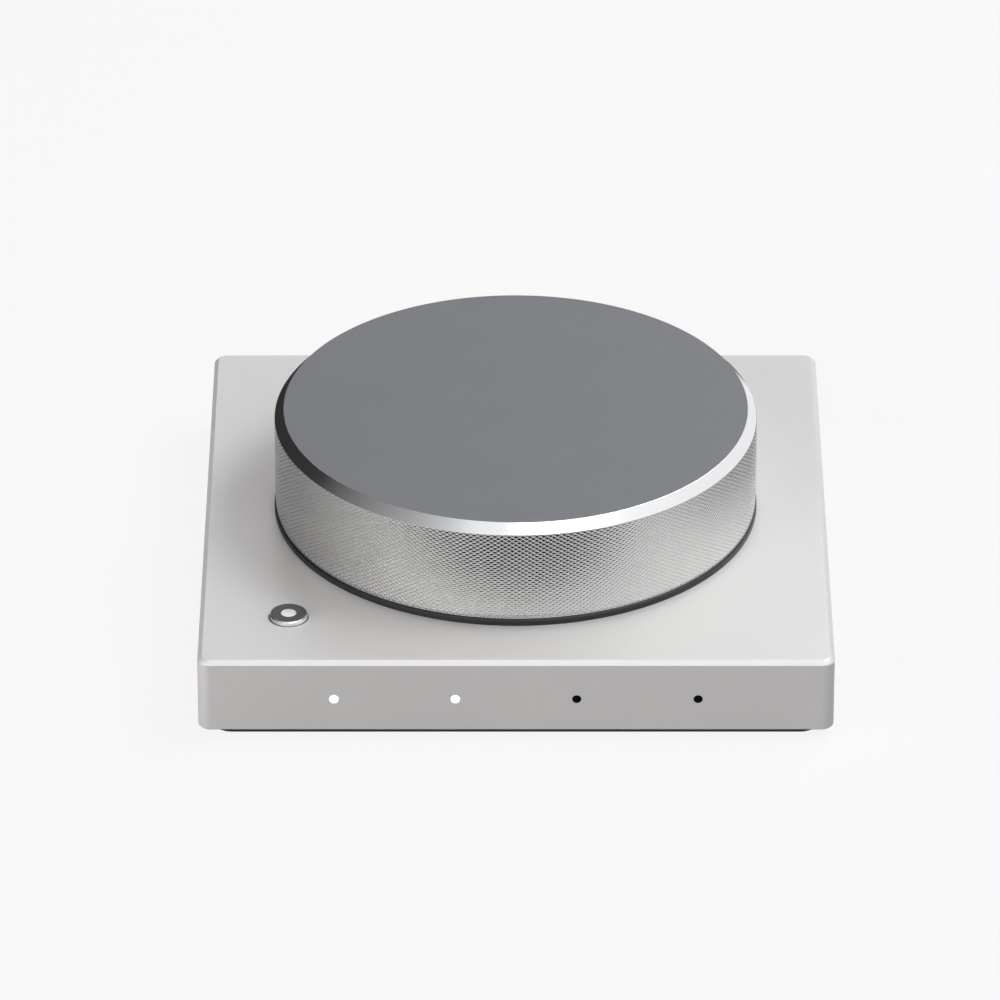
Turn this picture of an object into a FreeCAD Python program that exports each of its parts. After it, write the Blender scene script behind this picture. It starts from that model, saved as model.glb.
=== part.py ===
"""USB volume control knob: a free-standing desk dial, built as an assembly of separate pieces.

The row frame has +Z up and the lights towards -Y. The origin is the centre of the footprint on the desk.
All lengths are in millimetres. The driving sizes stand in the sheet Sizes, and the sheet Places works out
from them where the pieces meet. Each piece is drawn in its own frame and then placed.
"""

import FreeCAD, Part
import os

import Sketcher

# Driving sizes of the whole object, each in a cell of its own name
SIZES = {
    # Base
    "base_side": 100.0,
    "base_height": 12.5,
    "base_corner": 2.0,
    "base_top_chamfer": 0.7,
    "base_bottom_chamfer": 0.25,
    "base_wall": 3.0,
    "deck_thickness": 3.0,
    "seat_clearance": 0.02,
    "slide_clearance": 0.18,
    # Foot pad and bottom plate
    "pad_thickness": 1.6,
    "pad_inset": 2.0,
    "pad_corner": 3.3,
    "plate_thickness": 1.2,
    "plate_lip": 1.5,
    "plate_clearance": 0.1,
    "plate_boss_offset": 3.5,
    "plate_boss_radius": 4.0,
    "hollow_corner": 4.0,
    "plate_screw_radius": 1.25,
    "plate_screw_head_radius": 2.3,
    "plate_screw_head_height": 1.05,
    "plate_screw_length": 6.5,
    "thread_clearance": 0.04,
    "thread_run_out": 0.6,
    "hex_radius": 0.8,
    # Plinth ring under the dial
    "ring_height": 0.9,
    "ring_width": 4.0,
    "ring_overhang": 0.15,
    "ring_groove_depth": 0.3,
    # Dial
    "dial_inset": 11.25,
    "dial_height": 16.7,
    "dial_gap": 0.3,
    "dial_chamfer_width": 1.45,
    "dial_chamfer_height": 1.6,
    "dial_bottom_chamfer": 0.25,
    "dial_wall": 3.25,
    "dial_web": 3.5,
    "rim_land": 0.1,
    "disc_thickness": 1.35,
    "disc_edge_chamfer": 0.12,
    "adhesive_thickness": 0.15,
    "adhesive_inset": 1.5,
    "adhesive_bore_radius": 13.0,
    "disc_clearance": 0.05,
    "hub_screw_count": 3,
    "hub_screw_circle": 9.6,
    "hub_screw_radius": 1.5,
    "hub_screw_head_radius": 2.8,
    "hub_screw_head_height": 1.3,
    "hub_screw_length": 5.0,
    # Bearings
    "bearing_outside_radius": 10.5,
    "bearing_width": 5.0,
    "bearing_race_wall": 1.45,
    "bearing_channel": 1.6,
    "bearing_chamfer": 0.3,
    "ball_radius": 1.19,
    "ball_count": 11,
    "ball_clearance": 0.06,
    "cage_wall": 1.0,
    "cage_rim": 0.5,
    # Bearing carrier
    "carrier_wall": 2.5,
    "carrier_flange_width": 9.0,
    "carrier_flange_thickness": 2.0,
    "carrier_land": 1.0,
    "carrier_recess": 0.3,
    "carrier_clearance": 0.05,
    "carrier_screw_radius": 1.5,
    "carrier_screw_head_radius": 2.75,
    "carrier_screw_head_height": 1.5,
    "carrier_screw_length": 4.6,
    # Spindle and what is on it
    "spindle_flange_radius": 13.5,
    "spindle_flange_thickness": 2.3,
    "spindle_shoulder": 0.5,
    "spindle_shoulder_width": 1.1,
    "spindle_lip": 0.7,
    "clip_thickness": 1.0,
    "clip_depth": 0.3,
    "clip_width": 1.3,
    "clip_gap": 3.0,
    "clip_ear_radius": 1.0,
    "clip_ear_hole_radius": 0.4,
    "washer_height": 0.6,
    "washer_thickness": 0.3,
    "washer_width": 0.9,
    "washer_clearance": 0.1,
    "magnet_radius": 3.0,
    "magnet_height": 2.5,
    "air_gap": 0.8,
    # Circuit board
    "board_gap": 1.2,
    "board_thickness": 1.6,
    "board_margin": 0.8,
    "board_notch_clearance": 0.6,
    "board_screw_inset": 20.0,
    "board_boss_radius": 3.0,
    "board_screw_radius": 1.0,
    "board_screw_head_radius": 1.9,
    "board_screw_head_height": 0.9,
    "board_screw_length": 5.0,
    "encoder_length": 6.4,
    "encoder_width": 5.0,
    "encoder_height": 1.0,
    "controller_side": 7.0,
    "controller_height": 1.4,
    "controller_inset": 22.2,
    "controller_y": 4.0,
    "crystal_length": 3.2,
    "crystal_width": 2.5,
    "crystal_height": 0.8,
    "crystal_spacing": 3.0,
    "chip_part_length": 1.6,
    "chip_part_width": 0.8,
    "chip_part_height": 0.7,
    "chip_part_pitch": 2.4,
    "chip_part_count": 6,
    "chip_part_spacing": 2.5,
    # Lights
    "light_rise": 1.7,
    "light_pitch": 19.06,
    "light_radius": 0.75,
    "light_count": 4,
    "light_collar_radius": 1.3,
    "light_collar_length": 0.5,
    "led_width": 3.0,
    "led_depth": 1.3,
    "led_height": 2.9,
    "led_gap": 0.25,
    # USB-C port
    "usb_width": 8.94,
    "usb_height": 3.16,
    "usb_length": 7.35,
    "usb_corner": 1.3,
    "usb_wall": 0.3,
    "usb_back_wall": 1.2,
    "usb_recess": 0.1,
    "usb_clearance": 0.15,
    "usb_tongue_width": 6.69,
    "usb_tongue_thickness": 0.7,
    "usb_tongue_length": 4.45,
    "usb_contact_width": 0.25,
    "usb_contact_thickness": 0.05,
    "usb_contact_length": 3.4,
    "usb_contact_pitch": 0.5,
    "usb_contact_count": 12,
    # Button
    "button_side_inset": 14.1,
    "button_front_inset": 13.9,
    "button_radius": 3.07,
    "button_proud": 0.75,
    "button_travel": 0.4,
    "button_edge_chamfer": 0.15,
    "button_rim": 0.25,
    "button_face_thickness": 0.8,
    "button_flange_width": 1.13,
    "button_flange_thickness": 1.0,
    "lens_radius": 1.3,
    "lens_gap": 0.9,
    "arm_overhang": 1.5,
    "arm_width": 2.6,
    "switch_distance": 5.6,
    "switch_side": 2.8,
    "switch_height": 1.8,
    "switch_corner": 0.3,
    "plunger_radius": 0.7,
    "plunger_depth": 0.8,
    "spring_radius": 2.0,
    "spring_wire": 0.4,
    "spring_pitch": 0.85,
    "button_led_length": 1.6,
    "button_led_width": 0.8,
    "button_led_height": 0.6,
}

# Heights and distances where the pieces meet, worked out from the sizes
PLACES = {
    # From the desk up
    "base_bottom": "Sizes.pad_thickness",
    "deck_top": "base_bottom + Sizes.base_height",
    "ceiling": "deck_top - Sizes.deck_thickness",
    "plate_top": "base_bottom + Sizes.plate_thickness",
    "board_bottom": "plate_top + Sizes.board_gap",
    "board_top": "board_bottom + Sizes.board_thickness",
    "light_line": "board_top + Sizes.light_rise",
    "ring_top": "deck_top + Sizes.ring_height",
    "dial_bottom": "ring_top + Sizes.dial_gap",
    "dial_top": "dial_bottom + Sizes.dial_height",
    "disc_bottom": "dial_top - Sizes.disc_thickness",
    "recess_floor": "disc_bottom - Sizes.adhesive_thickness",
    "web_bottom": "recess_floor - Sizes.dial_web",
    # Bearing stack
    "spindle_bottom": "board_top + Sizes.encoder_height + Sizes.air_gap",
    "clip_bottom": "spindle_bottom + Sizes.spindle_lip",
    "washer_bottom": "clip_bottom + Sizes.clip_thickness",
    "lower_bearing": "washer_bottom + Sizes.washer_height",
    "carrier_bottom": "lower_bearing - Sizes.carrier_recess",
    "land_bottom": "lower_bearing + Sizes.bearing_width",
    "flange_bottom": "web_bottom - Sizes.spindle_flange_thickness",
    "carrier_top": "flange_bottom - Sizes.spindle_shoulder",
    "upper_bearing": "carrier_top - Sizes.bearing_width",
    "outer_land_radius": "Sizes.bearing_outside_radius - Sizes.bearing_race_wall",
    "inner_land_radius": "outer_land_radius - Sizes.bearing_channel",
    "pitch_radius": "(outer_land_radius + inner_land_radius) / 2",
    "bearing_bore_radius": "inner_land_radius - Sizes.bearing_race_wall",
    "cage_half_height": "Sizes.ball_radius + Sizes.cage_rim",
    "carrier_radius": "Sizes.bearing_outside_radius + Sizes.carrier_wall",
    "carrier_flange_radius": "carrier_radius + Sizes.carrier_flange_width",
    "carrier_screw_circle": "carrier_radius + Sizes.carrier_flange_width / 2",
    "spindle_radius": "bearing_bore_radius - Sizes.seat_clearance",
    "groove_radius": "spindle_radius - Sizes.clip_depth",
    # Across the base
    "base_half": "Sizes.base_side / 2",
    "cavity_half": "base_half - Sizes.base_wall",
    "lip_half": "base_half - Sizes.plate_lip",
    "plate_half": "lip_half - Sizes.plate_clearance",
    "pad_half": "base_half - Sizes.pad_inset",
    "plate_boss_place": "cavity_half - Sizes.plate_boss_offset",
    "seat_corner": "Sizes.base_corner / 2",
    "board_half": "cavity_half - Sizes.board_margin",
    "board_screw_place": "base_half - Sizes.board_screw_inset",
    "controller_x": "board_half - Sizes.controller_inset",
    "dial_radius": "base_half - Sizes.dial_inset",
    "ring_radius": "dial_radius + Sizes.ring_overhang",
    "chamfer_radius": "dial_radius - Sizes.dial_chamfer_width",
    "recess_radius": "chamfer_radius - Sizes.rim_land",
    "disc_radius": "recess_radius - Sizes.disc_clearance",
    # Lights
    "light_span": "Sizes.light_pitch * (Sizes.light_count - 1)",
    "light_inner": "cavity_half - Sizes.light_collar_length",
    # USB-C port
    "usb_mouth": "base_half - Sizes.usb_recess",
    "usb_middle": "board_top + Sizes.usb_height / 2",
    # Button
    "button_x": "Sizes.button_side_inset - base_half",
    "button_y": "Sizes.button_front_inset - base_half",
    "button_face_radius": "Sizes.button_radius - Sizes.button_rim",
    "button_flange_radius": "Sizes.button_radius + Sizes.button_flange_width",
    "button_top": "deck_top + Sizes.button_proud",
    "flange_underside": "ceiling - Sizes.button_flange_thickness",
    "lens_bottom": "board_top + Sizes.button_led_height + Sizes.lens_gap",
    "switch_x": "button_x + Sizes.switch_distance",
    "arm_length": "Sizes.switch_distance + Sizes.arm_overhang",
}

# How far a cutting piece runs past the faces that it cuts
OVERRUN = 1.0
# How near two lengths are when they count as the same
SAME = 0.001
# The floor of a key socket, as a share of its screw head's height
SOCKET_FLOOR_SHARE = 0.35
# Where the button's arm starts, as a share of its flange's radius
ARM_ROOT_SHARE = 0.8
FULL_TURN = 360.0
QUARTER_TURN = 90.0
CORNERS = 4

ALONG_X = FreeCAD.Vector(1, 0, 0)
ALONG_Y = FreeCAD.Vector(0, 1, 0)
ALONG_Z = FreeCAD.Vector(0, 0, 1)
# Turns a piece's own Z axis to point out of the front wall
FACING_FRONT = FreeCAD.Rotation(ALONG_X, QUARTER_TURN)


def fill_sheet(doc, name, cells):
    """Return a new sheet with one named cell for each entry: a plain number, or a formula."""
    sheet = doc.addObject("Spreadsheet::Sheet", name)
    for row, (alias, content) in enumerate(cells.items(), start=1):
        sheet.set("A%d" % row, alias)
        sheet.setAlias("B%d" % row, alias)
        sheet.set("B%d" % row, "=" + content if isinstance(content, str) else str(content))
    return sheet


def bind(target, **expressions):
    """Bind properties of an object to expressions; x, y and z are its place."""
    for name, expression in expressions.items():
        path = "Placement.Base." + name if name in ("x", "y", "z") else name
        target.setExpression(path, expression)
    return target


def new_body(doc, label, **place):
    """Return an empty body of that label, placed by expressions."""
    body = doc.addObject("PartDesign::Body", label)
    body.Label = label
    return bind(body, **place)


def origin_feature(body, role):
    """Return one plane or axis of the body's own origin."""
    return next(feature for feature in body.Origin.OriginFeatures if feature.Role == role)


def edge_names(feature, wanted):
    """Return the names of the feature's edges that pass the test wanted."""
    edges = enumerate(feature.Shape.Edges, start=1)
    return ["Edge%d" % number for number, edge in edges if wanted(edge)]


def runs_along(edge, axis):
    """Tell whether an edge is straight and runs along that axis."""
    straight = isinstance(edge.Curve, Part.Line)
    return straight and abs(edge.tangentAt(edge.FirstParameter).dot(axis)) > 1 - SAME


def block(body, name, length, width, height, cut=False, centred=True, **place):
    """Add or cut a box of the given length, width and height, centred on its place in X and Y."""
    kind = "PartDesign::SubtractiveBox" if cut else "PartDesign::AdditiveBox"
    box = body.newObject(kind, name)
    bind(box, Length=length, Width=width, Height=height)
    across = place.pop("x", "0")
    along = place.pop("y", "0")
    if centred:
        across = "%s - (%s) / 2" % (across, length)
        along = "%s - (%s) / 2" % (along, width)
    return bind(box, x=across, y=along, **place)


def rod(body, name, radius, height, cut=False, turn=None, **place):
    """Add or cut a cylinder, along Z unless it is turned."""
    kind = "PartDesign::SubtractiveCylinder" if cut else "PartDesign::AdditiveCylinder"
    cylinder = body.newObject(kind, name)
    if turn:
        cylinder.Placement = FreeCAD.Placement(FreeCAD.Vector(), turn)
    return bind(cylinder, Radius=radius, Height=height, **place)


def taper(body, name, lower_radius, upper_radius, height, cut=False, **place):
    """Add or cut a cone along Z."""
    kind = "PartDesign::SubtractiveCone" if cut else "PartDesign::AdditiveCone"
    cone = body.newObject(kind, name)
    return bind(cone, Radius1=lower_radius, Radius2=upper_radius, Height=height, **place)


def hex_socket(body, name, radius, depth, **place):
    """Cut a hexagonal key socket along Z."""
    socket = body.newObject("PartDesign::SubtractivePrism", name)
    return bind(socket, Circumradius=radius, Height=depth, **place)


def round_edges(body, name, feature, radius, wanted):
    """Round the edges of the feature that pass the test wanted."""
    body.Document.recompute()
    fillet = body.newObject("PartDesign::Fillet", name)
    fillet.Base = (feature, edge_names(feature, wanted))
    return bind(fillet, Radius=radius)


def chamfer_edges(body, name, feature, size, wanted):
    """Chamfer the edges of the feature that pass the test wanted."""
    body.Document.recompute()
    chamfer = body.newObject("PartDesign::Chamfer", name)
    chamfer.Base = (feature, edge_names(feature, wanted))
    return bind(chamfer, Size=size)


def repeat_round(body, name, features, count):
    """Repeat features evenly about the body's Z axis; count is an expression."""
    body.Document.recompute()
    pattern = body.newObject("PartDesign::PolarPattern", name)
    pattern.Originals = features
    pattern.Axis = (origin_feature(body, "Z_Axis"), [""])
    pattern.Angle = FULL_TURN
    bind(pattern, Occurrences=count)
    body.Tip = pattern
    return pattern


def repeat_in_row(body, name, features, span, count):
    """Repeat features along X; span and count are expressions."""
    body.Document.recompute()
    pattern = body.newObject("PartDesign::LinearPattern", name)
    pattern.Originals = features
    pattern.Direction = (origin_feature(body, "X_Axis"), [""])
    bind(pattern, Length=span, Occurrences=count)
    body.Tip = pattern
    return pattern


def outline(body, name, corners):
    """Draw a closed outline of straight edges on the body's XZ plane.

    Each corner is a pair of expressions: its distance from the axis, and its height.
    """
    sketch = body.newObject("Sketcher::SketchObject", name)
    sketch.AttachmentSupport = [(origin_feature(body, "XZ_Plane"), "")]
    sketch.MapMode = "FlatFace"
    points = [FreeCAD.Vector(sketch.evalExpression(across), sketch.evalExpression(up), 0)
              for across, up in corners]
    for start, end in zip(points, points[1:] + points[:1]):
        sketch.addGeometry(Part.LineSegment(start, end))
    for line in range(len(corners)):
        following = (line + 1) % len(corners)
        sketch.addConstraint(Sketcher.Constraint("Coincident", line, 2, following, 1))
    for line, (point, expressions) in enumerate(zip(points, corners)):
        for kind, length, expression in zip(("DistanceX", "DistanceY"), (point.x, point.y), expressions):
            number = sketch.addConstraint(Sketcher.Constraint(kind, line, 1, length))
            if expression != "0":
                sketch.setExpression("Constraints[%d]" % number, expression)
    return sketch


def turn_outline(body, name, corners, cut=False):
    """Turn a closed outline about the body's Z axis, as a solid or as a cut."""
    sketch = outline(body, name + "_outline", corners)
    turned = body.newObject("PartDesign::Groove" if cut else "PartDesign::Revolution", name)
    turned.Profile = sketch
    turned.ReferenceAxis = (sketch, ["V_Axis"])
    turned.Angle = FULL_TURN
    sketch.Visibility = False
    return turned


def ring_corners(inner, outer, height, bottom="0"):
    """Return the outline of a plain ring."""
    return [(inner, bottom), (outer, bottom), (outer, height), (inner, height)]


def make_foot_pad(doc):
    """The rubber pad that the base stands on."""
    body = new_body(doc, "foot_pad")
    side = "Places.pad_half * 2"
    pad = block(body, "pad", side, side, "Sizes.pad_thickness")
    round_edges(body, "pad_corners", pad, "Sizes.pad_corner", lambda edge: runs_along(edge, ALONG_Z))
    return body


def make_bottom_plate(doc):
    """The steel plate that closes the base, set flush into its underside."""
    body = new_body(doc, "bottom_plate", z="Places.base_bottom")
    side = "Places.plate_half * 2"
    plate = block(body, "plate", side, side, "Sizes.plate_thickness")
    round_edges(body, "plate_corners", plate, "Places.seat_corner", lambda edge: runs_along(edge, ALONG_Z))
    place = {"x": "Places.plate_boss_place", "y": "Places.plate_boss_place"}
    sink = taper(body, "sink", "Sizes.plate_screw_head_radius + Sizes.thread_clearance",
                 "Sizes.plate_screw_radius + Sizes.thread_clearance", "Sizes.plate_screw_head_height",
                 cut=True, **place)
    hole = rod(body, "hole", "Sizes.plate_screw_radius + Sizes.thread_clearance", "Sizes.plate_thickness",
               cut=True, **place)
    repeat_round(body, "holes", [sink, hole], str(CORNERS))
    return body


def make_bottom_plate_screws(doc):
    """Four countersunk screws, driven from below."""
    body = new_body(doc, "bottom_plate_screws", z="Places.base_bottom")
    place = {"x": "Places.plate_boss_place", "y": "Places.plate_boss_place"}
    head = taper(body, "head", "Sizes.plate_screw_head_radius", "Sizes.plate_screw_radius",
                 "Sizes.plate_screw_head_height", **place)
    shank = rod(body, "shank", "Sizes.plate_screw_radius", "Sizes.plate_screw_length", **place)
    socket = hex_socket(body, "socket", "Sizes.hex_radius", "Sizes.plate_screw_head_height", **place)
    repeat_round(body, "corners", [head, shank, socket], str(CORNERS))
    return body


def cut_square_hollow(body, name, half, depth, bottom, corner):
    """Cut a square hollow with rounded corners up from its bottom; every size is an expression."""
    hollow = block(body, name, half + " * 2", half + " * 2", depth, cut=True, z=bottom)
    reach = body.evalExpression(half)

    def hollow_corner(edge):
        """Tell whether an edge is one of the hollow's upright corners."""
        place = edge.CenterOfMass
        return runs_along(edge, ALONG_Z) and all(abs(abs(part) - reach) < SAME for part in (place.x, place.y))

    round_edges(body, name + "_corners", hollow, corner, hollow_corner)


def add_bosses(body):
    """Add the screw bosses that hang from the ceiling, and drill them."""
    corner = {"x": "Places.plate_boss_place", "y": "Places.plate_boss_place"}
    inner = {"x": "Places.board_screw_place", "y": "Places.board_screw_place"}
    plate_boss = rod(body, "plate_boss", "Sizes.plate_boss_radius", "Places.ceiling - Places.plate_top",
                     z="Places.plate_top", **corner)
    board_boss = rod(body, "board_boss", "Sizes.board_boss_radius", "Places.ceiling - Places.board_top",
                     z="Places.board_top", **inner)
    repeat_round(body, "bosses", [plate_boss, board_boss], str(CORNERS))
    plate_depth = "Sizes.plate_screw_length + Sizes.thread_run_out - Sizes.plate_thickness"
    plate_hole = rod(body, "plate_thread", "Sizes.plate_screw_radius + Sizes.thread_clearance", plate_depth,
                     cut=True, z="Places.plate_top", **corner)
    board_depth = "Sizes.board_screw_length + Sizes.thread_run_out - Sizes.board_thickness"
    board_hole = rod(body, "board_thread", "Sizes.board_screw_radius + Sizes.thread_clearance", board_depth,
                     cut=True, z="Places.board_top", **inner)
    repeat_round(body, "threads", [plate_hole, board_hole], str(CORNERS))


def cut_deck(body):
    """Cut what passes through the deck: the carrier, its screws, the ring's groove and the button."""
    through = "Sizes.deck_thickness + %s * 2" % OVERRUN
    below = "Places.ceiling - %s" % OVERRUN
    rod(body, "carrier_hole", "Places.carrier_radius + Sizes.carrier_clearance", through, cut=True, z=below)
    screw_hole = rod(body, "carrier_thread", "Sizes.carrier_screw_radius + Sizes.thread_clearance", through,
                     cut=True, x="Places.carrier_screw_circle", z=below)
    repeat_round(body, "carrier_threads", [screw_hole], str(CORNERS))
    inner = "Places.ring_radius - Sizes.ring_width - Sizes.seat_clearance"
    outer = "Places.ring_radius + Sizes.seat_clearance"
    turn_outline(body, "ring_groove", ring_corners(inner, outer, "Places.deck_top + %s" % OVERRUN,
                                                   "Places.deck_top - Sizes.ring_groove_depth"), cut=True)
    rod(body, "button_hole", "Sizes.button_radius + Sizes.slide_clearance", through, cut=True,
        x="Places.button_x", y="Places.button_y", z=below)


def cut_walls(body):
    """Cut the four light holes in the front wall and the port's slot in the rear wall."""
    light = rod(body, "light_hole", "Sizes.light_radius + Sizes.seat_clearance",
                "Sizes.base_wall + %s * 2" % OVERRUN, cut=True, turn=FACING_FRONT,
                x="-Places.light_span / 2", y="%s - Places.cavity_half" % OVERRUN, z="Places.light_line")
    repeat_in_row(body, "light_holes", [light], "Places.light_span", "Sizes.light_count")
    slot_height = "Sizes.usb_height + Sizes.usb_clearance * 2"
    slot = block(body, "port_slot", "Sizes.usb_width + Sizes.usb_clearance * 2",
                 "Sizes.base_wall + %s * 2" % OVERRUN, slot_height, cut=True,
                 y="Places.base_half - Sizes.base_wall / 2", z="Places.board_top - Sizes.usb_clearance")
    half_width = body.evalExpression("Sizes.usb_width / 2 + Sizes.usb_clearance") + SAME
    inner_face = body.evalExpression("Places.cavity_half") - SAME

    def slot_corner(edge):
        """Tell whether an edge is one of the slot's four long corners."""
        place = edge.CenterOfMass
        return runs_along(edge, ALONG_Y) and abs(place.x) < half_width and place.y > inner_face

    round_edges(body, "slot_corners", slot, "Sizes.usb_corner + Sizes.usb_clearance", slot_corner)


def make_base_shell(doc):
    """The milled housing: four walls and a deck in one piece, open below."""
    body = new_body(doc, "base_shell")
    solid = block(body, "billet", "Sizes.base_side", "Sizes.base_side", "Sizes.base_height",
                  z="Places.base_bottom")
    rounded = round_edges(body, "outer_corners", solid, "Sizes.base_corner",
                          lambda edge: runs_along(edge, ALONG_Z))
    top = body.evalExpression("Places.deck_top") - SAME
    bottom = body.evalExpression("Places.base_bottom") + SAME
    bevelled = chamfer_edges(body, "top_chamfer", rounded, "Sizes.base_top_chamfer",
                             lambda edge: edge.BoundBox.ZMin > top)
    chamfer_edges(body, "bottom_chamfer", bevelled, "Sizes.base_bottom_chamfer",
                  lambda edge: edge.BoundBox.ZMax < bottom)
    cut_square_hollow(body, "plate_seat", "Places.lip_half", "Sizes.plate_thickness", "Places.base_bottom",
                      "Places.seat_corner")
    cut_square_hollow(body, "hollow", "Places.cavity_half", "Places.ceiling - Places.plate_top",
                      "Places.plate_top", "Sizes.hollow_corner")
    add_bosses(body)
    cut_deck(body)
    cut_walls(body)
    return body


def make_plinth_ring(doc):
    """The dark ring that stands in a shallow groove of the deck, under the dial's edge."""
    body = new_body(doc, "plinth_ring", z="Places.deck_top - Sizes.ring_groove_depth")
    turn_outline(body, "ring", ring_corners("Places.ring_radius - Sizes.ring_width", "Places.ring_radius",
                                            "Sizes.ring_groove_depth + Sizes.ring_height"))
    return body


def make_bearing_carrier(doc):
    """The flanged tube that holds both bearings, with a land between their outer races."""
    body = new_body(doc, "bearing_carrier", z="Places.carrier_bottom")
    bore = "Sizes.bearing_outside_radius + Sizes.seat_clearance"
    land = "Sizes.bearing_outside_radius - Sizes.carrier_land"
    flange_low = "Places.deck_top - Places.carrier_bottom"
    flange_high = flange_low + " + Sizes.carrier_flange_thickness"
    land_low = "Places.land_bottom - Places.carrier_bottom"
    land_high = "Places.upper_bearing - Places.carrier_bottom"
    top = "Places.carrier_top - Places.carrier_bottom"
    turn_outline(body, "tube", [
        (bore, "0"),
        ("Places.carrier_radius", "0"),
        ("Places.carrier_radius", flange_low),
        ("Places.carrier_flange_radius", flange_low),
        ("Places.carrier_flange_radius", flange_high),
        ("Places.carrier_radius", flange_high),
        ("Places.carrier_radius", top),
        (bore, top),
        (bore, land_high),
        (land, land_high),
        (land, land_low),
        (bore, land_low),
    ])
    hole = rod(body, "screw_hole", "Sizes.carrier_screw_radius + Sizes.thread_clearance",
               "Sizes.carrier_flange_thickness", cut=True, x="Places.carrier_screw_circle", z=flange_low)
    repeat_round(body, "screw_holes", [hole], str(CORNERS))
    return body


def make_carrier_screws(doc):
    """Four cap screws that hold the carrier's flange on the deck."""
    body = new_body(doc, "carrier_screws", z="Places.deck_top + Sizes.carrier_flange_thickness")
    shank = rod(body, "shank", "Sizes.carrier_screw_radius", "Sizes.carrier_screw_length",
                x="Places.carrier_screw_circle", z="-Sizes.carrier_screw_length")
    head = rod(body, "head", "Sizes.carrier_screw_head_radius", "Sizes.carrier_screw_head_height",
               x="Places.carrier_screw_circle")
    socket = hex_socket(body, "socket", "Sizes.hex_radius", "Sizes.carrier_screw_head_height",
                        x="Places.carrier_screw_circle",
                        z="Sizes.carrier_screw_head_height * %s" % SOCKET_FLOOR_SHARE)
    repeat_round(body, "circle", [shank, head, socket], str(CORNERS))
    return body


def cut_ball_track(body):
    """Cut the groove that the balls run in."""
    track = body.newObject("PartDesign::SubtractiveTorus", "ball_track")
    bind(track, Radius1="Places.pitch_radius", Radius2="Sizes.ball_radius + Sizes.ball_clearance",
         z="Sizes.bearing_width / 2")


def make_race(doc, label, bottom, inner, outer):
    """One race of a ball bearing, between two radii."""
    body = new_body(doc, label, z=bottom)
    edge = "Sizes.bearing_chamfer"
    turn_outline(body, "race", [
        (inner + " + " + edge, "0"),
        (outer + " - " + edge, "0"),
        (outer, edge),
        (outer, "Sizes.bearing_width - " + edge),
        (outer + " - " + edge, "Sizes.bearing_width"),
        (inner + " + " + edge, "Sizes.bearing_width"),
        (inner, "Sizes.bearing_width - " + edge),
        (inner, edge),
    ])
    cut_ball_track(body)
    return body


def make_balls(doc, label, bottom):
    """The balls of one bearing, as a group of separate solids."""
    body = new_body(doc, label, z=bottom + " + Sizes.bearing_width / 2")
    ball = body.newObject("PartDesign::AdditiveSphere", "ball")
    bind(ball, Radius="Sizes.ball_radius", x="Places.pitch_radius")
    repeat_round(body, "circle", [ball], "Sizes.ball_count")
    return body


def make_cage(doc, label, bottom):
    """The ring that keeps the balls of one bearing apart."""
    body = new_body(doc, label, z=bottom + " + Sizes.bearing_width / 2")
    turn_outline(body, "band", ring_corners("Places.pitch_radius - Sizes.cage_wall / 2",
                                            "Places.pitch_radius + Sizes.cage_wall / 2",
                                            "Places.cage_half_height", "-Places.cage_half_height"))
    pocket = body.newObject("PartDesign::SubtractiveCylinder", "pocket")
    pocket.Placement = FreeCAD.Placement(FreeCAD.Vector(), FreeCAD.Rotation(ALONG_Y, QUARTER_TURN))
    bind(pocket, Radius="Sizes.ball_radius + Sizes.ball_clearance", Height="Sizes.cage_wall * 2",
         x="Places.pitch_radius - Sizes.cage_wall")
    repeat_round(body, "pockets", [pocket], "Sizes.ball_count")
    return body


def make_bearing(doc, prefix, bottom):
    """Return the pieces of one ball bearing: its races, balls and cage."""
    inner = make_race(doc, prefix + "_inner_race", bottom, "Places.bearing_bore_radius",
                      "Places.inner_land_radius")
    outer = make_race(doc, prefix + "_outer_race", bottom, "Places.outer_land_radius",
                      "Sizes.bearing_outside_radius")
    balls = make_balls(doc, prefix + "_balls", bottom)
    cage = make_cage(doc, prefix + "_cage", bottom)
    return [inner, outer, balls, cage]


def make_dial_shell(doc):
    """The turned cup of the dial, with its chamfer, its web and the recess for the disc."""
    body = new_body(doc, "dial_shell", z="Places.dial_bottom")
    bore = "Places.dial_radius - Sizes.dial_wall"
    edge = "Sizes.dial_bottom_chamfer"
    web_low = "Places.web_bottom - Places.dial_bottom"
    web_high = "Places.recess_floor - Places.dial_bottom"
    turn_outline(body, "cup", [
        (bore, "0"),
        ("Places.dial_radius - " + edge, "0"),
        ("Places.dial_radius", edge),
        ("Places.dial_radius", "Sizes.dial_height - Sizes.dial_chamfer_height"),
        ("Places.chamfer_radius", "Sizes.dial_height"),
        ("Places.recess_radius", "Sizes.dial_height"),
        ("Places.recess_radius", web_high),
        ("0", web_high),
        ("0", web_low),
        (bore, web_low),
    ])
    sink_height = "Sizes.hub_screw_head_height"
    sink = taper(body, "sink", "Sizes.hub_screw_radius + Sizes.thread_clearance",
                 "Sizes.hub_screw_head_radius + Sizes.thread_clearance", sink_height, cut=True,
                 x="Sizes.hub_screw_circle", z="%s - %s" % (web_high, sink_height))
    hole = rod(body, "hole", "Sizes.hub_screw_radius + Sizes.thread_clearance", "Sizes.dial_web", cut=True,
               x="Sizes.hub_screw_circle", z=web_low)
    repeat_round(body, "holes", [sink, hole], "Sizes.hub_screw_count")
    return body


def make_dial_top_disc(doc):
    """The anodised disc that covers the dial's top."""
    body = new_body(doc, "dial_top_disc", z="Places.disc_bottom")
    edge = "Sizes.disc_edge_chamfer"
    turn_outline(body, "disc", [
        ("0", "0"),
        ("Places.disc_radius", "0"),
        ("Places.disc_radius", "Sizes.disc_thickness - " + edge),
        ("Places.disc_radius - " + edge, "Sizes.disc_thickness"),
        ("0", "Sizes.disc_thickness"),
    ])
    return body


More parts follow.
